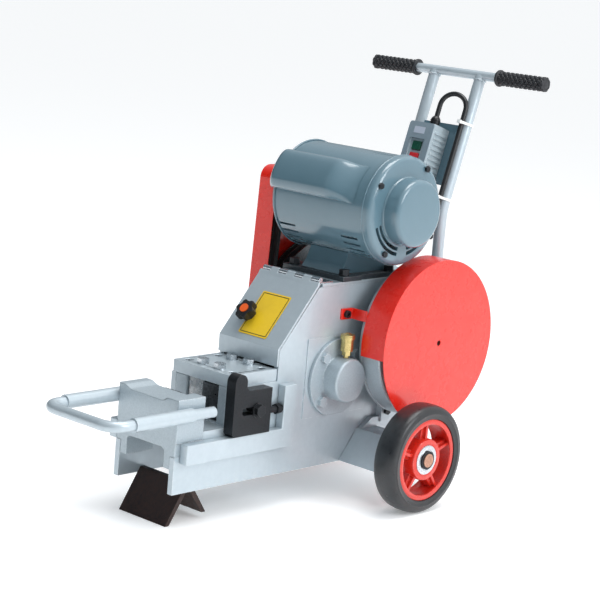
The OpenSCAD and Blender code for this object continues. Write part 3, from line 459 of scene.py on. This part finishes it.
class Piece:
    """One visible piece, gathered face by face in millimetres."""

    def __init__(self, name: str) -> None:
        """Starts an empty piece called name."""
        self.name = name
        self.mesh = bmesh.new()

    def grid(self, rows: Sequence[Sequence[Vector]], around: bool, along: bool = False) -> None:
        """Joins rows of points into a skin.

        Args:
            rows: Rows of equally many points.
            around: Whether each row closes on itself.
            along: Whether the last row joins the first.
        """
        made = [[self.mesh.verts.new(p) for p in row] for row in rows]
        span = len(made[0]) if around else len(made[0]) - 1
        for i in range(len(made) if along else len(made) - 1):
            near, far = made[i], made[(i + 1) % len(made)]
            for k in range(span):
                n = (k + 1) % len(near)
                self.mesh.faces.new((near[k], near[n], far[n], far[k]))

    def lathe(
        self,
        profile: Sequence[tuple[float, float]],
        centre: Vector,
        segments: int = 96,
        shape: Callable[[float, float, float], float] | None = None,
    ) -> None:
        """Revolves a closed profile about an X axis.

        Args:
            profile: Points (radius, x), x measured from the centre.
            centre: A point on the axis.
            segments: Steps round the axis.
            shape: Radius for a given radius, x and turn, where it isn't round.
        """
        rows = []
        for i in range(segments):
            turn = 2 * math.pi * i / segments
            row = []
            for radius, x in profile:
                r = shape(radius, x, turn) if shape else radius
                row.append(centre + Vector((x, r * math.cos(turn), r * math.sin(turn))))
            rows.append(row)
        self.grid(rows, around=True, along=True)

    def tube(self, path: Sequence[Vector], radius: Callable[[int], float], sides: int = 20) -> None:
        """Sweeps a round section along a path and closes its ends.

        Args:
            path: Points of the middle line.
            radius: Radius at each point's index.
            sides: Sides of the section.
        """
        rows = []
        side = Vector((1, 0, 0))
        for i, point in enumerate(path):
            ahead = (path[min(i + 1, len(path) - 1)] - path[max(i - 1, 0)]).normalized()
            side = (side - side.dot(ahead) * ahead).normalized()
            up = ahead.cross(side)
            rows.append(
                [
                    point + radius(i) * (math.cos(a) * side + math.sin(a) * up)
                    for a in (2 * math.pi * k / sides for k in range(sides))
                ]
            )
        first = len(self.mesh.verts)
        self.grid(rows, around=True)
        self.mesh.verts.ensure_lookup_table()
        last = len(self.mesh.verts) - sides
        self.mesh.faces.new([self.mesh.verts[first + k] for k in reversed(range(sides))])
        self.mesh.faces.new([self.mesh.verts[last + k] for k in range(sides)])

    def slab(
        self, outline: Sequence[tuple[float, float]], low: float, high: float, place: Matrix, round_mm: float
    ) -> None:
        """Raises an outline into a plate with rounded edges.

        Args:
            outline: Corners (x, y) in the plate's own frame, counter-clockwise.
            low: Lower face along the frame's Z.
            high: Upper face along the frame's Z.
            place: The plate's frame.
            round_mm: Radius of its edges.
        """
        part = bmesh.new()
        base = [part.verts.new((x, y, low)) for x, y in outline]
        top = [part.verts.new((x, y, high)) for x, y in outline]
        part.faces.new(list(reversed(base)))
        part.faces.new(top)
        for k in range(len(base)):
            n = (k + 1) % len(base)
            part.faces.new((base[k], base[n], top[n], top[k]))
        if round_mm:
            bmesh.ops.bevel(
                part, geom=part.edges[:], offset=round_mm, segments=3, profile=0.5, affect="EDGES"
            )
        part.transform(place)
        self._take(part)

    def ring_plate(
        self,
        outer: Sequence[tuple[float, float]],
        inner: Sequence[tuple[float, float]],
        low: float,
        high: float,
        place: Matrix,
    ) -> None:
        """Raises the band between two outlines of equally many points.

        Args:
            outer: Outer outline, counter-clockwise.
            inner: Inner outline, counter-clockwise.
            low: Lower face along the frame's Z.
            high: Upper face along the frame's Z.
            place: The plate's frame.
        """
        loops = ((outer, low), (outer, high), (inner, high), (inner, low))
        rows = [[place @ Vector((x, y, z)) for x, y in loop] for loop, z in loops]
        self.grid(rows, around=True, along=True)

    def _take(self, part: bmesh.types.BMesh) -> None:
        """Moves the faces of part into this piece."""
        held = bpy.data.meshes.new("held")
        part.to_mesh(held)
        part.free()
        self.mesh.from_mesh(held)
        bpy.data.meshes.remove(held)

    def done(
        self, finish: Finish, body: str, stands_for: Sequence[str] = (), crease: float = 38.0
    ) -> bpy.types.Object:
        """Turns the gathered faces into an object that rides on a body.

        Args:
            finish: The surface finish.
            body: The CAD body it moves with.
            stands_for: CAD nodes that it replaces.
            crease: Angle in degrees above which an edge is sharp.

        Returns:
            The finished object.
        """
        bmesh.ops.remove_doubles(self.mesh, verts=self.mesh.verts[:], dist=0.001)
        bmesh.ops.recalc_face_normals(self.mesh, faces=self.mesh.faces[:])
        for edge in self.mesh.edges:
            edge.smooth = not (
                len(edge.link_faces) == 2 and edge.calc_face_angle(0.0) > math.radians(crease)
            )
        for face in self.mesh.faces:
            face.smooth = True
        self.mesh.transform(Matrix.Scale(MM, 4))
        data = bpy.data.meshes.new(self.name)
        self.mesh.to_mesh(data)
        self.mesh.free()
        data.materials.append(finish.material())
        made = bpy.data.objects.new(self.name, data)
        bpy.context.scene.collection.objects.link(made)
        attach(made, body)
        if stands_for:
            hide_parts(*stands_for)
        LOG.info("%s: %d faces", self.name, len(data.polygons))
        return made


def box_mm(node: str) -> tuple[Vector, Vector]:
    """Returns the lowest and highest corners of a CAD node, in millimetres."""
    low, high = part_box(node)
    return low / MM, high / MM


def arc(
    centre: Vector, first: Vector, second: Vector, start: float, stop: float, steps: int
) -> list[Vector]:
    """Points of a circular arc.

    Args:
        centre: Its centre.
        first: Radius vector at angle 0.
        second: Radius vector at 90 degrees.
        start: First angle in degrees.
        stop: Last angle in degrees.
        steps: Number of steps.

    Returns:
        steps + 1 points.
    """
    points = []
    for i in range(steps + 1):
        turn = math.radians(start + (stop - start) * i / steps)
        points.append(centre + math.cos(turn) * first + math.sin(turn) * second)
    return points


def rounded(
    half_x: float, half_y: float, radius: float, steps: int = 5, centre: tuple[float, float] = (0.0, 0.0)
) -> list[tuple[float, float]]:
    """Outline of a rectangle with round corners.

    Args:
        half_x: Half its width.
        half_y: Half its height.
        radius: Corner radius.
        steps: Steps in each corner.
        centre: Its centre.

    Returns:
        The outline, counter-clockwise.
    """
    points = []
    for corner, (sx, sy) in enumerate(((1, 1), (-1, 1), (-1, -1), (1, -1))):
        for i in range(steps + 1):
            turn = math.radians(90 * corner + 90 * i / steps)
            points.append(
                (
                    centre[0] + sx * (half_x - radius) + radius * math.cos(turn),
                    centre[1] + sy * (half_y - radius) + radius * math.sin(turn),
                )
            )
    return points


# ---- Studio ---------------------------------------------------------------------------------


@dataclass
class Studio:
    """Plain pale floor, soft lights and the camera.

    Attributes:
        azimuth: Where the camera stands, in degrees from straight in front.
        elevation: Its height above the horizon in degrees.
        roll: Its tilt about its own axis in degrees.
        distance: Distance from the point that it looks at, in metres.
        target: The point that it looks at.
        lens: Focal length in millimetres on a 36 mm sensor.
        horizon: Colour of the sky low down, sRGB hex.
    """

    azimuth: float = 42.403
    elevation: float = 10.66
    roll: float = 4.88
    distance: float = 3.476
    target: tuple[float, float, float] = (0.0, 0.0558, 0.3562)
    lens: float = 114.48
    horizon: str = "#8FA8B8"

    def camera(self) -> None:
        """Sets the camera up."""
        turn, rise, tilt = (math.radians(v) for v in (self.azimuth, self.elevation, self.roll))
        ahead = Vector(
            (-math.sin(turn) * math.cos(rise), math.cos(turn) * math.cos(rise), -math.sin(rise))
        )
        level = Vector((math.cos(turn), math.sin(turn), 0))
        right = math.cos(tilt) * level + math.sin(tilt) * level.cross(ahead)
        up = right.cross(ahead)
        data = bpy.data.cameras.new("camera")
        data.lens = self.lens
        data.sensor_width = 36
        data.clip_end = 2000
        camera = bpy.data.objects.new("camera", data)
        camera.matrix_world = Matrix.Translation(Vector(self.target) - self.distance * ahead) @ Matrix(
            (right, up, -ahead)
        ).transposed().to_4x4()
        bpy.context.scene.collection.objects.link(camera)
        bpy.context.scene.camera = camera

    def soft_box(
        self, name: str, at: tuple[float, float, float], size: tuple[float, float], watts: float, tint: str
    ) -> None:
        """Hangs one soft box that faces the machine.

        Args:
            name: Its name.
            at: Where it hangs.
            size: Its width and height.
            watts: Its power.
            tint: Its colour, sRGB hex.
        """
        data = bpy.data.lights.new(name, "AREA")
        data.shape = "RECTANGLE"
        data.size, data.size_y = size
        data.energy = watts
        data.color = linear(tint)[:3]
        lamp = bpy.data.objects.new(name, data)
        lamp.location = at
        aim = Vector((0.0, 0.0, 0.35)) - Vector(at)
        lamp.rotation_euler = aim.to_track_quat("-Z", "Y").to_euler()
        bpy.context.scene.collection.objects.link(lamp)

    def floor(self) -> None:
        """Lays a plain pale floor under the machine."""
        part = bmesh.new()
        bmesh.ops.create_grid(part, x_segments=8, y_segments=8, size=600)
        data = bpy.data.meshes.new("floor")
        part.to_mesh(data)
        part.free()
        paint = bpy.data.materials.new("pale_floor_paint")
        paint.use_nodes = True
        tree = paint.node_tree
        tree.nodes.clear()
        surface = add_node(
            tree,
            "ShaderNodeBsdfPrincipled",
            {
                "Base Color": linear("#FAFAFA"),
                "Roughness": 0.85,
                "Specular IOR Level": 0.1,
                "Emission Color": linear("#FFFFFF"),
                "Emission Strength": 0.22,
            },
        )
        add_node(tree, "ShaderNodeOutputMaterial", {"Surface": surface.outputs["BSDF"]})
        data.materials.append(paint)
        ground = bpy.data.objects.new("floor", data)
        bpy.context.scene.collection.objects.link(ground)

    def sky(self) -> None:
        """Lights the studio from above and the right, and more weakly from the front."""
        world = bpy.data.worlds.new("studio")
        world.use_nodes = True
        tree = world.node_tree
        tree.nodes.clear()
        place = add_node(tree, "ShaderNodeTexCoord").outputs["Generated"]
        rise = add_node(
            tree, "ShaderNodeVectorMath", {0: place, 1: (0.5, 0.42, 0.76)}, operation="DOT_PRODUCT"
        ).outputs["Value"]
        share = add_node(
            tree, "ShaderNodeMapRange", {"Value": rise, "From Min": -0.35, "From Max": 0.85}
        ).outputs["Result"]
        colour = add_node(
            tree,
            "ShaderNodeMix",
            {"Factor": share, "A": linear(self.horizon), "B": linear("#FFFFFF")},
            data_type="RGBA",
        ).outputs["Result"]
        strength = add_node(
            tree, "ShaderNodeMapRange", {"Value": share, "To Min": 0.1, "To Max": 1.2}
        ).outputs["Result"]
        glow = add_node(tree, "ShaderNodeBackground", {"Color": colour, "Strength": strength})
        add_node(tree, "ShaderNodeOutputWorld", {"Surface": glow.outputs["Background"]})
        bpy.context.scene.world = world

    def build(self) -> None:
        """Sets up the whole studio."""
        bpy.context.scene.view_settings.view_transform = "Standard"
        self.sky()
        self.floor()
        self.soft_box("top_light", (0.5, 0.5, 3.6), (2.0, 2.0), 62, "#FFFFFF")
        self.soft_box("side_light", (3.4, 0.6, 2.0), (1.6, 1.8), 46, "#F6FAFF")
        self.soft_box("front_light", (-1.6, -3.2, 2.2), (2.0, 1.6), 3, "#CFE0EC")
        self.camera()
        LOG.info("studio: floor, sky, three soft lights and the camera")


# ---- CAD nodes that stay --------------------------------------------------------------------


@dataclass
class Dressing:
    """Gives every CAD node its finish, and the visible ones softened edges.

    Attributes:
        edge_mm: Width of the softened edge on each node, in millimetres.
    """

    edge_mm: dict[str, float]

    def build(self) -> None:
        """Dresses all CAD nodes."""
        slots = {part["node"]: part["material_slot"] for part in frame["record"]["subparts"]}
        for node, thing in frame["nodes"].items():
            finish = SLOT_FINISH[slots[node]]
            thing.data.materials.clear()
            thing.data.materials.append(finish.material())
            if node in self.edge_mm:
                self.soften(thing, self.edge_mm[node])
        LOG.info("dressing: %d CAD nodes", len(frame["nodes"]))

    def soften(self, thing: bpy.types.Object, width: float) -> None:
        """Rounds the edges of one CAD node with modifiers.

        Args:
            thing: The node's object.
            width: Width of the rounding in millimetres.
        """
        weld = thing.modifiers.new("weld", "WELD")
        weld.merge_threshold = 0.00001
        edge = thing.modifiers.new("edge", "BEVEL")
        edge.width = width * MM
        edge.segments = 2
        edge.limit_method = "ANGLE"
        edge.angle_limit = math.radians(33)
        edge.use_clamp_overlap = False
        even = thing.modifiers.new("even", "WEIGHTED_NORMAL")
        even.weight = 60


# ---- Wheels ---------------------------------------------------------------------------------


@dataclass
class Wheels:
    """Two solid-tyred wheels with five-spoked cast rims.

    Attributes:
        centre: Axle centre (Y, Z).
        face_x: Outer face of the tyre from the middle of the machine.
        width: Width of the tyre.
        radius: Outside radius.
        spokes: Number of spokes.
    """

    centre: tuple[float, float] = (161.0, 100.0)
    face_x: float = 249.0
    width: float = 50.0
    radius: float = 100.0
    spokes: int = 5

    def turned(self, piece: Piece, side: int, profile: Sequence[tuple[float, float]]) -> None:
        """Revolves points (radius, depth behind the outer face) about the axle of one side."""
        points = [(r, side * (self.face_x - depth)) for r, depth in profile]
        piece.lathe(points, Vector((0, *self.centre)), 128)

    def tyre(self, side: int, name: str) -> None:
        """Moulds one tyre with rounded shoulders and a fine rib on its wall."""
        piece = Piece(f"tyre_{name}_moulded")
        wall = [(76, 2.2), (80, 1.1), (84.4, 0.5), (85, 0), (86, 0), (86.6, 0.5), (90, 0.7), (93.6, 1.8)]
        crown = [(96.6, 4.4), (98.5, 8), (99.5, 13), (self.radius, 19)]
        half = [(75.1, 5), *wall, *crown]
        self.turned(piece, side, half + [(r, self.width - d) for r, d in reversed(half)])
        piece.done(TYRE_RUBBER, f"wheel_{name}_unit", [f"tyre_{name}"])

    def rim(self, side: int, name: str) -> None:
        """Casts one rim: a lipped ring, a hub and ribbed spokes."""
        piece = Piece(f"wheel_rim_{name}_cast")
        back = self.width
        self.turned(
            piece,
            side,
            [(75, 4), (75, back - 4), (66, back - 3), (65, back - 5), (68.5, back - 12), (69, 25),
             (68.5, 12), (65.5, 5), (66, 3.4), (70, 2.6), (73, 3)],
        )
        self.turned(
            piece,
            side,
            [(37, 4.6), (38.4, 7), (38.4, back - 7), (37, back - 4), (12.55, back - 4), (12.55, back - 20),
             (28, back - 20), (28, 20), (12.55, 20), (12.55, 5), (29, 5), (30.5, 4)],
        )
        for k in range(self.spokes):
            turn = math.radians(18 + 360 * k / self.spokes)
            out = Vector((0, math.cos(turn), math.sin(turn)))
            across = Vector((0, -math.sin(turn), math.cos(turn)))
            place = Matrix.Translation(Vector((0, *self.centre))) @ Matrix(
                (out, across, Vector((1, 0, 0)))
            ).transposed().to_4x4()
            layers = ((9.5, 6.5, 16, 34, 1.6), (3.2, 2.6, 9, 41, 1.2))
            for near, far, front, rear, round_mm in layers:
                low, high = sorted((side * (self.face_x - rear), side * (self.face_x - front)))
                piece.slab([(36, -near), (69, -far), (69, far), (36, near)], low, high, place, round_mm)
        piece.done(RED_CASTING, f"wheel_{name}_unit", [f"wheel_rims_{name}"])

    def bearing(self, side: int, name: str) -> None:
        """Sets the pale bearing ring into the hub."""
        piece = Piece(f"wheel_bearing_{name}")
        self.turned(piece, side, [(27, 5.2), (27, 4.2), (25, 3.6), (19.4, 3.6), (19, 4.1), (18.4, 3.6),
                                  (14, 3.6), (13, 4.2), (13, 5.2)])
        piece.done(ZINC, f"wheel_{name}_unit")

    def build(self) -> None:
        """Makes both wheels."""
        for side, name in ((1, "right"), (-1, "left")):
            self.tyre(side, name)
            self.rim(side, name)
            self.bearing(side, name)


# ---- Push handle ----------------------------------------------------------------------------


@dataclass
class PushHandle:
    """Knurled grips and weld beads of the push handle.

    Attributes:
        bar: Centre of the cross bar (Y, Z).
        tube_x: Distance of each upright tube from the middle.
        grip_x: Inner and outer end of a grip.
        grip_r: Radius of a grip.
    """

    bar: tuple[float, float] = (452.0, 773.0)
    tube_x: float = 56.0
    grip_x: tuple[float, float] = (99.0, 210.0)
    grip_r: float = 13.0

    def knurl(self, radius: float, x: float, turn: float) -> float:
        """Radius of the grip with its diamond knurl."""
        if radius < self.grip_r - 0.3 or radius > self.grip_r + 0.3:
            return radius
        ridge = min(abs(math.sin(4 * turn + 0.3 * x)), abs(math.sin(4 * turn - 0.3 * x)))
        return radius - 1.5 + 2.5 * min(1.0, 1.7 * ridge)

    def grip(self, side: int, name: str) -> None:
        """Moulds one grip with an inner collar and a plain end.

        Args:
            side: 1 for the right grip, -1 for the left.
            name: Side as a word.
        """
        piece = Piece(f"grip_{name}_moulded")
        near, far = self.grip_x
        steps = int((far - near - 14) / 1.3)
        sheath = [(self.grip_r, near + 7 + 1.3 * k) for k in range(steps)]
        outline = [(9.2, near), (15.2, near), (16, near + 1.2), (16, near + 4), (15, near + 5.2),
                   (12.6, near + 6), *sheath, (12.6, far - 6), (13.2, far - 5), (13.2, far - 1.4),
                   (12, far - 0.2), (9.2, far - 0.2)]
        piece.lathe([(r, side * x) for r, x in outline], Vector((0, *self.bar)), 112, self.knurl)
        piece.done(BLACK_RUBBER, "frame", ["handle_grips"])
        plug = Piece(f"bar_end_{name}")
        plug.lathe(
            [(9, side * (far - 3)), (9, side * (far - 0.8)), (8.2, side * (far - 0.2)), (0.2, side * far),
             (0.2, side * (far - 3))],
            Vector((0, *self.bar)),
            48,
        )
        plug.done(BLACK_RUBBER, "frame")

    def beads(self) -> None:
        """Lays the weld beads where the uprights meet the cross bar."""
        piece = Piece("push_handle_weld_beads")
        along = Vector((0, math.sin(TUBE_LEAN), math.cos(TUBE_LEAN)))
        level = Vector((0, math.cos(TUBE_LEAN), -math.sin(TUBE_LEAN)))
        for x in (-self.tube_x, self.tube_x):
            ring = arc(Vector((x, *self.bar)) - 9.4 * along, Vector((11, 0, 0)), 11 * level, 0, 350, 60)
            piece.tube(ring, lambda i: 1.7 + 0.3 * math.sin(2.1 * i), 10)
        piece.done(SILVER_CASTING, "frame")

    def build(self) -> None:
        """Makes the grips and beads."""
        self.grip(1, "right")
        self.grip(-1, "left")
        self.beads()


# ---- Switch ---------------------------------------------------------------------------------


@dataclass
class SwitchGear:
    """Face, blank label, cable gland, cable and ties of the switch.

    Attributes:
        foot: Where the switch's frame starts (Y, Z), on the bend of the tubes.
        centre: Middle of the face (X, height along the tubes).
        half: Half its width and height.
        cable_r: Radius of the cable.
        lean: Lean of the tubes that carry the switch.
    """

    foot: tuple[float, float] = (372.0, 515.0)
    centre: tuple[float, float] = (-8.0, 106.0)
    half: tuple[float, float] = (30.0, 48.0)
    cable_r: float = 4.8
    lean: float = TUBE_LEAN

    def place(self) -> Matrix:
        """Returns the switch's own frame."""
        return Matrix.Translation(Vector((0, *self.foot))) @ Matrix.Rotation(-self.lean, 4, "X")

    def facing(self) -> Matrix:
        """Returns a frame whose Z looks out of the switch's face."""
        return self.place() @ Matrix(((1, 0, 0), (0, 0, -1), (0, 1, 0))).to_4x4()

    def face(self) -> None:
        """Moulds the face around its button panel, and sticks the blank label on."""
        cover = Piece("switch_face_moulded")
        outer = rounded(*self.half, 6, centre=self.centre)
        inner = rounded(18, 26, 3, centre=(-9, 96))
        cover.ring_plate(outer, inner, 49.9, 51.4, self.facing())
        cover.done(PANEL_PLASTIC, "frame", crease=30)
        label = Piece("switch_label_blank")
        label.slab(rounded(13, 6.5, 1.5, centre=(-10, 138)), 51.3, 51.7, self.facing(), 0)
        label.done(PALE_FOIL, "frame")

    def gland(self) -> None:
        """Moulds the ribbed gland that holds the cable."""
        piece = Piece("switch_cable_gland")
        steps = ((153.8, 11.5), (156, 11.5), (156.4, 9.4), (159, 9.4), (159.4, 10.6), (161, 10.6),
                 (161.4, 9.2), (163, 9.2), (163.4, 10.2), (165, 10.2), (165.4, 9.1), (167, 9.1),
                 (168.6, 8.6), (172, 6.2))
        path = [self.place() @ Vector((4, -30, z)) for z, _ in steps]
        piece.tube(path, lambda i: steps[i][1], 28)
        piece.done(BLACK_PLASTIC, "frame")

    def route(self) -> list[Vector]:
        """Returns the cable's middle line in the switch's frame."""
        start = Vector((4, -30, 170))
        reach = Vector((52, 13.8, 0))
        loop_r = reach.length / 2
        over = reach.normalized()
        lift = Vector((0, 0, loop_r))
        loop = arc(Vector((4, -30, 196)) + loop_r * over, -loop_r * over, lift, 0, 180, 30)
        turn = 90 - math.degrees(self.lean)
        bend = Vector((56, -61.2, 12))
        corner = arc(bend, Vector((0, 45, 0)), Vector((0, 0, -45)), 0, turn, 14)
        ahead = Vector((0, -math.cos(self.lean), -math.sin(self.lean)))
        turn_y = self.foot[0] - 61.2 * math.cos(self.lean) + 12 * math.sin(self.lean)
        return [start, *loop, *corner, corner[-1] + (turn_y - 262) * ahead]

    def cable(self) -> None:
        """Lays the cable from the gland to the motor, and its two ties."""
        piece = Piece("switch_cable_sheathed")
        piece.tube([self.place() @ p for p in self.route()], lambda i: self.cable_r, 24)
        piece.done(CABLE_SHEATH, "frame", ["switch_cable"])
        ties = Piece("cable_ties")
        for height in (22.5, 171.5):
            loops = []
            for grow in (0.4, 1.9):
                loop = []
                cable_side = (-16.2, 4.8, range(196, 346, 15))
                tube_side = (0, 11, range(-16, 197, 12))
                for centre_y, radius, sweep in (cable_side, tube_side):
                    for a in sweep:
                        turn = math.radians(a)
                        reach = radius + grow
                        loop.append((56 + reach * math.cos(turn), centre_y + reach * math.sin(turn)))
                loops.append(loop)
            ties.ring_plate(loops[1], loops[0], height - 2.5, height + 2.5, self.place())
            ties.slab(rounded(4, 3, 1, centre=(56, -24.6)), height - 3.2, height + 3.2, self.place(), 0.6)
        ties.done(WHITE_PLASTIC, "frame")

    def build(self) -> None:
        """Makes the face, gland, cable and ties."""
        self.face()
        self.gland()
        self.cable()


# ---- Motor ----------------------------------------------------------------------------------


@dataclass
class Motor:
    """Spun fan cover, pressed capacitor cover and the seam rings of the motor.

    Attributes:
        centre: Motor axis (Y, Z).
        cover_x: Where the fan cover starts and ends.
        cover_r: Radius of the fan cover.
        shell_r: Radius of the shell.
        hump_turn: Turn of the capacitor cover from the top towards the front, in degrees.
        hump_rise: Height of the capacitor cover over the shell.
    """

    centre: tuple[float, float] = (167.0, 536.0)
    cover_x: tuple[float, float] = (136.0, 171.0)
    cover_r: float = 62.0
    shell_r: float = 98.0
    hump_turn: float = 61.0
    hump_rise: float = 20.0

    def cover(self) -> None:
        """Spins the fan cover with a rounded edge and a faintly domed face."""
        piece = Piece("motor_fan_cover_spun")
        near, far = self.cover_x
        edge = [
            (self.cover_r - 9 + 9 * math.cos(math.radians(a)), far - 9 + 8.4 * math.sin(math.radians(a)))
            for a in range(0, 91, 10)
        ]
        foot = [
            (59.5, near),
            (self.cover_r + 1.6, near),
            (self.cover_r + 1.6, near + 1),
            (self.cover_r, near + 3),
        ]
        face = [(44, far - 0.5), (26, far - 0.1), (0.2, far)]
        inside = [(0.2, far - 2), (50, far - 2.4), (59.5, far - 9)]
        piece.lathe([*foot, *edge, *face, *inside], Vector((0, *self.centre)), 128)
        piece.done(MOTOR_ENAMEL, "frame", ["motor_fan_cover"])

    def swell(self, x: float) -> float:
        """Share of the capacitor cover's full height at x."""
        if x < -90:
            return math.sqrt(max(0.0, 1 - ((-90 - x) / 18) ** 2))
        fade = min(1.0, max(0.0, (x - 34) / 60))
        return 1 - fade * fade * (3 - 2 * fade)

    def hump(self) -> None:
        """Presses the capacitor cover, which slopes down to a flat flange on the right."""
        piece = Piece("capacitor_cover_pressed")
        stations = [-108, -107.6, -106.6, -105, -102, -98, -94, -90, *range(-84, 97, 4)]
        spread = 22.5
        rows = []
        for x in stations:
            row = []
            for k in range(41):
                share = k / 20 - 1
                dome = (1 - abs(share) ** 4.5) ** 0.55
                turn = math.radians(self.hump_turn + spread * share)
                radius = self.shell_r + 0.6 + self.hump_rise * self.swell(x) * dome
                row.append(Vector((x, -radius * math.sin(turn), radius * math.cos(turn))))
            for k in range(40, -1, -1):
                turn = math.radians(self.hump_turn + spread * (k / 20 - 1))
                inner = self.shell_r + 0.1
                row.append(Vector((x, -inner * math.sin(turn), inner * math.cos(turn))))
            rows.append([Vector((0, *self.centre)) + point for point in row])
        piece.grid(rows, around=True)
        piece.done(MOTOR_ENAMEL, "frame", ["capacitor_cover"], crease=60)

    def seams(self) -> None:
        """Rolls the narrow beads where the shell meets its end bells."""
        piece = Piece("motor_shell_seams")
        for x in (-98.0, 118.0):
            profile = [
                (self.shell_r + 1.2 + 1.5 * math.cos(math.radians(a)), x + 2 * math.sin(math.radians(a)))
                for a in range(0, 360, 30)
            ]
            piece.lathe(profile, Vector((0, *self.centre)), 128)
        piece.done(MOTOR_ENAMEL, "frame")

    def build(self) -> None:
        """Makes the fan cover, the capacitor cover and the seams."""
        self.cover()
        self.hump()
        self.seams()


# ---- Lid ------------------------------------------------------------------------------------


@dataclass
class LidFittings:
    """Lobed knob and blank yellow plate on the sloping lid.

    Attributes:
        edge: Upper edge of the lid (Y, Z).
        slope: Slope of the lid.
        knob: Place of the knob, across and down from the edge.
    """

    edge: tuple[float, float] = (17.5, 396.0)
    slope: float = math.atan2(106, 90)
    knob: tuple[float, float] = (-32.0, 86.0)

    def place(self, x: float, down: float) -> Matrix:
        """Returns a frame on the lid, x across and down from its edge."""
        return (
            Matrix.Translation(Vector((0, *self.edge)))
            @ Matrix.Rotation(self.slope, 4, "X")
            @ Matrix.Translation(Vector((x, -down, 0)))
        )

    def handwheel(self) -> None:
        """Moulds the six-lobed knob and presses the orange cap in."""
        piece = Piece("lid_knob_moulded")
        lobes = []
        for k in range(96):
            turn = 2 * math.pi * k / 96
            radius = 17.4 + 2.9 * math.cos(6 * turn)
            lobes.append((radius * math.cos(turn), radius * math.sin(turn)))
        piece.slab(lobes, 8, 22, self.place(*self.knob), 1.2)
        boss = [(11 * math.cos(k * math.pi / 24), 11 * math.sin(k * math.pi / 24)) for k in range(48)]
        piece.slab(boss, 0.3, 8.4, self.place(*self.knob), 0.2)
        stud = [(5 * math.cos(k * math.pi / 16), 5 * math.sin(k * math.pi / 16)) for k in range(32)]
        piece.slab(stud, -8, 1, self.place(*self.knob), 0.6)
        piece.done(BLACK_PLASTIC, "knob_unit", ["lid_knob"], crease=50)
        cap = Piece("lid_knob_cap")
        disc = [(8.4 * math.cos(k * math.pi / 24), 8.4 * math.sin(k * math.pi / 24)) for k in range(48)]
        cap.slab(disc, 21.6, 24, self.place(*self.knob), 0.9)
        cap.done(ORANGE_PLASTIC, "knob_unit")

    def plate(self) -> None:
        """Sticks the blank yellow plate on, notched for the knob's stud, with a plain black border."""
        foil = Piece("lid_plate_blank")
        outline = rounded(35, 46, 3)
        notch = [
            (-31 + 6 * math.cos(math.radians(a)), -8 + 6 * math.sin(math.radians(a)))
            for a in range(131, -132, -14)
        ]
        foil.slab(outline[:12] + notch + outline[12:], 0.03, 0.12, self.place(-1, 78), 0)
        foil.done(YELLOW_FOIL, "lid_unit")
        border = Piece("lid_plate_border")
        border.ring_plate(rounded(32, 43, 2), rounded(30.4, 41.4, 1), 0.11, 0.17, self.place(-1, 78))
        border.done(BLACK_FOIL, "lid_unit")

    def build(self) -> None:
        """Makes the knob and the plate."""
        self.handwheel()
        self.plate()


def main() -> None:
    """Builds the studio and every sub-assembly in order."""
    logging.basicConfig(level=logging.INFO, format="%(message)s")
    Studio().build()
    Dressing(
        {
            "body_shell": 1.0,
            "front_block": 2.0,
            "ram_guide": 1.4,
            "top_plate": 1.6,
            "rail_right": 1.6,
            "rail_left": 1.6,
            "axle_bracket": 1.0,
            "inspection_lid": 0.8,
            "front_foot": 1.0,
            "stop_plate": 0.4,
            "motor_base": 0.8,
            "bearing_caps": 1.2,
            "flywheel_cover": 0.6,
            "belt_guard": 0.6,
            "switch_box": 1.0,
            "on_button": 1.2,
            "off_button": 1.2,
            "motor_end_bells": 0.8,
        }
    ).build()
    Wheels().build()
    PushHandle().build()
    SwitchGear().build()
    Motor().build()
    LidFittings().build()


if __name__ == "__main__":
    main()
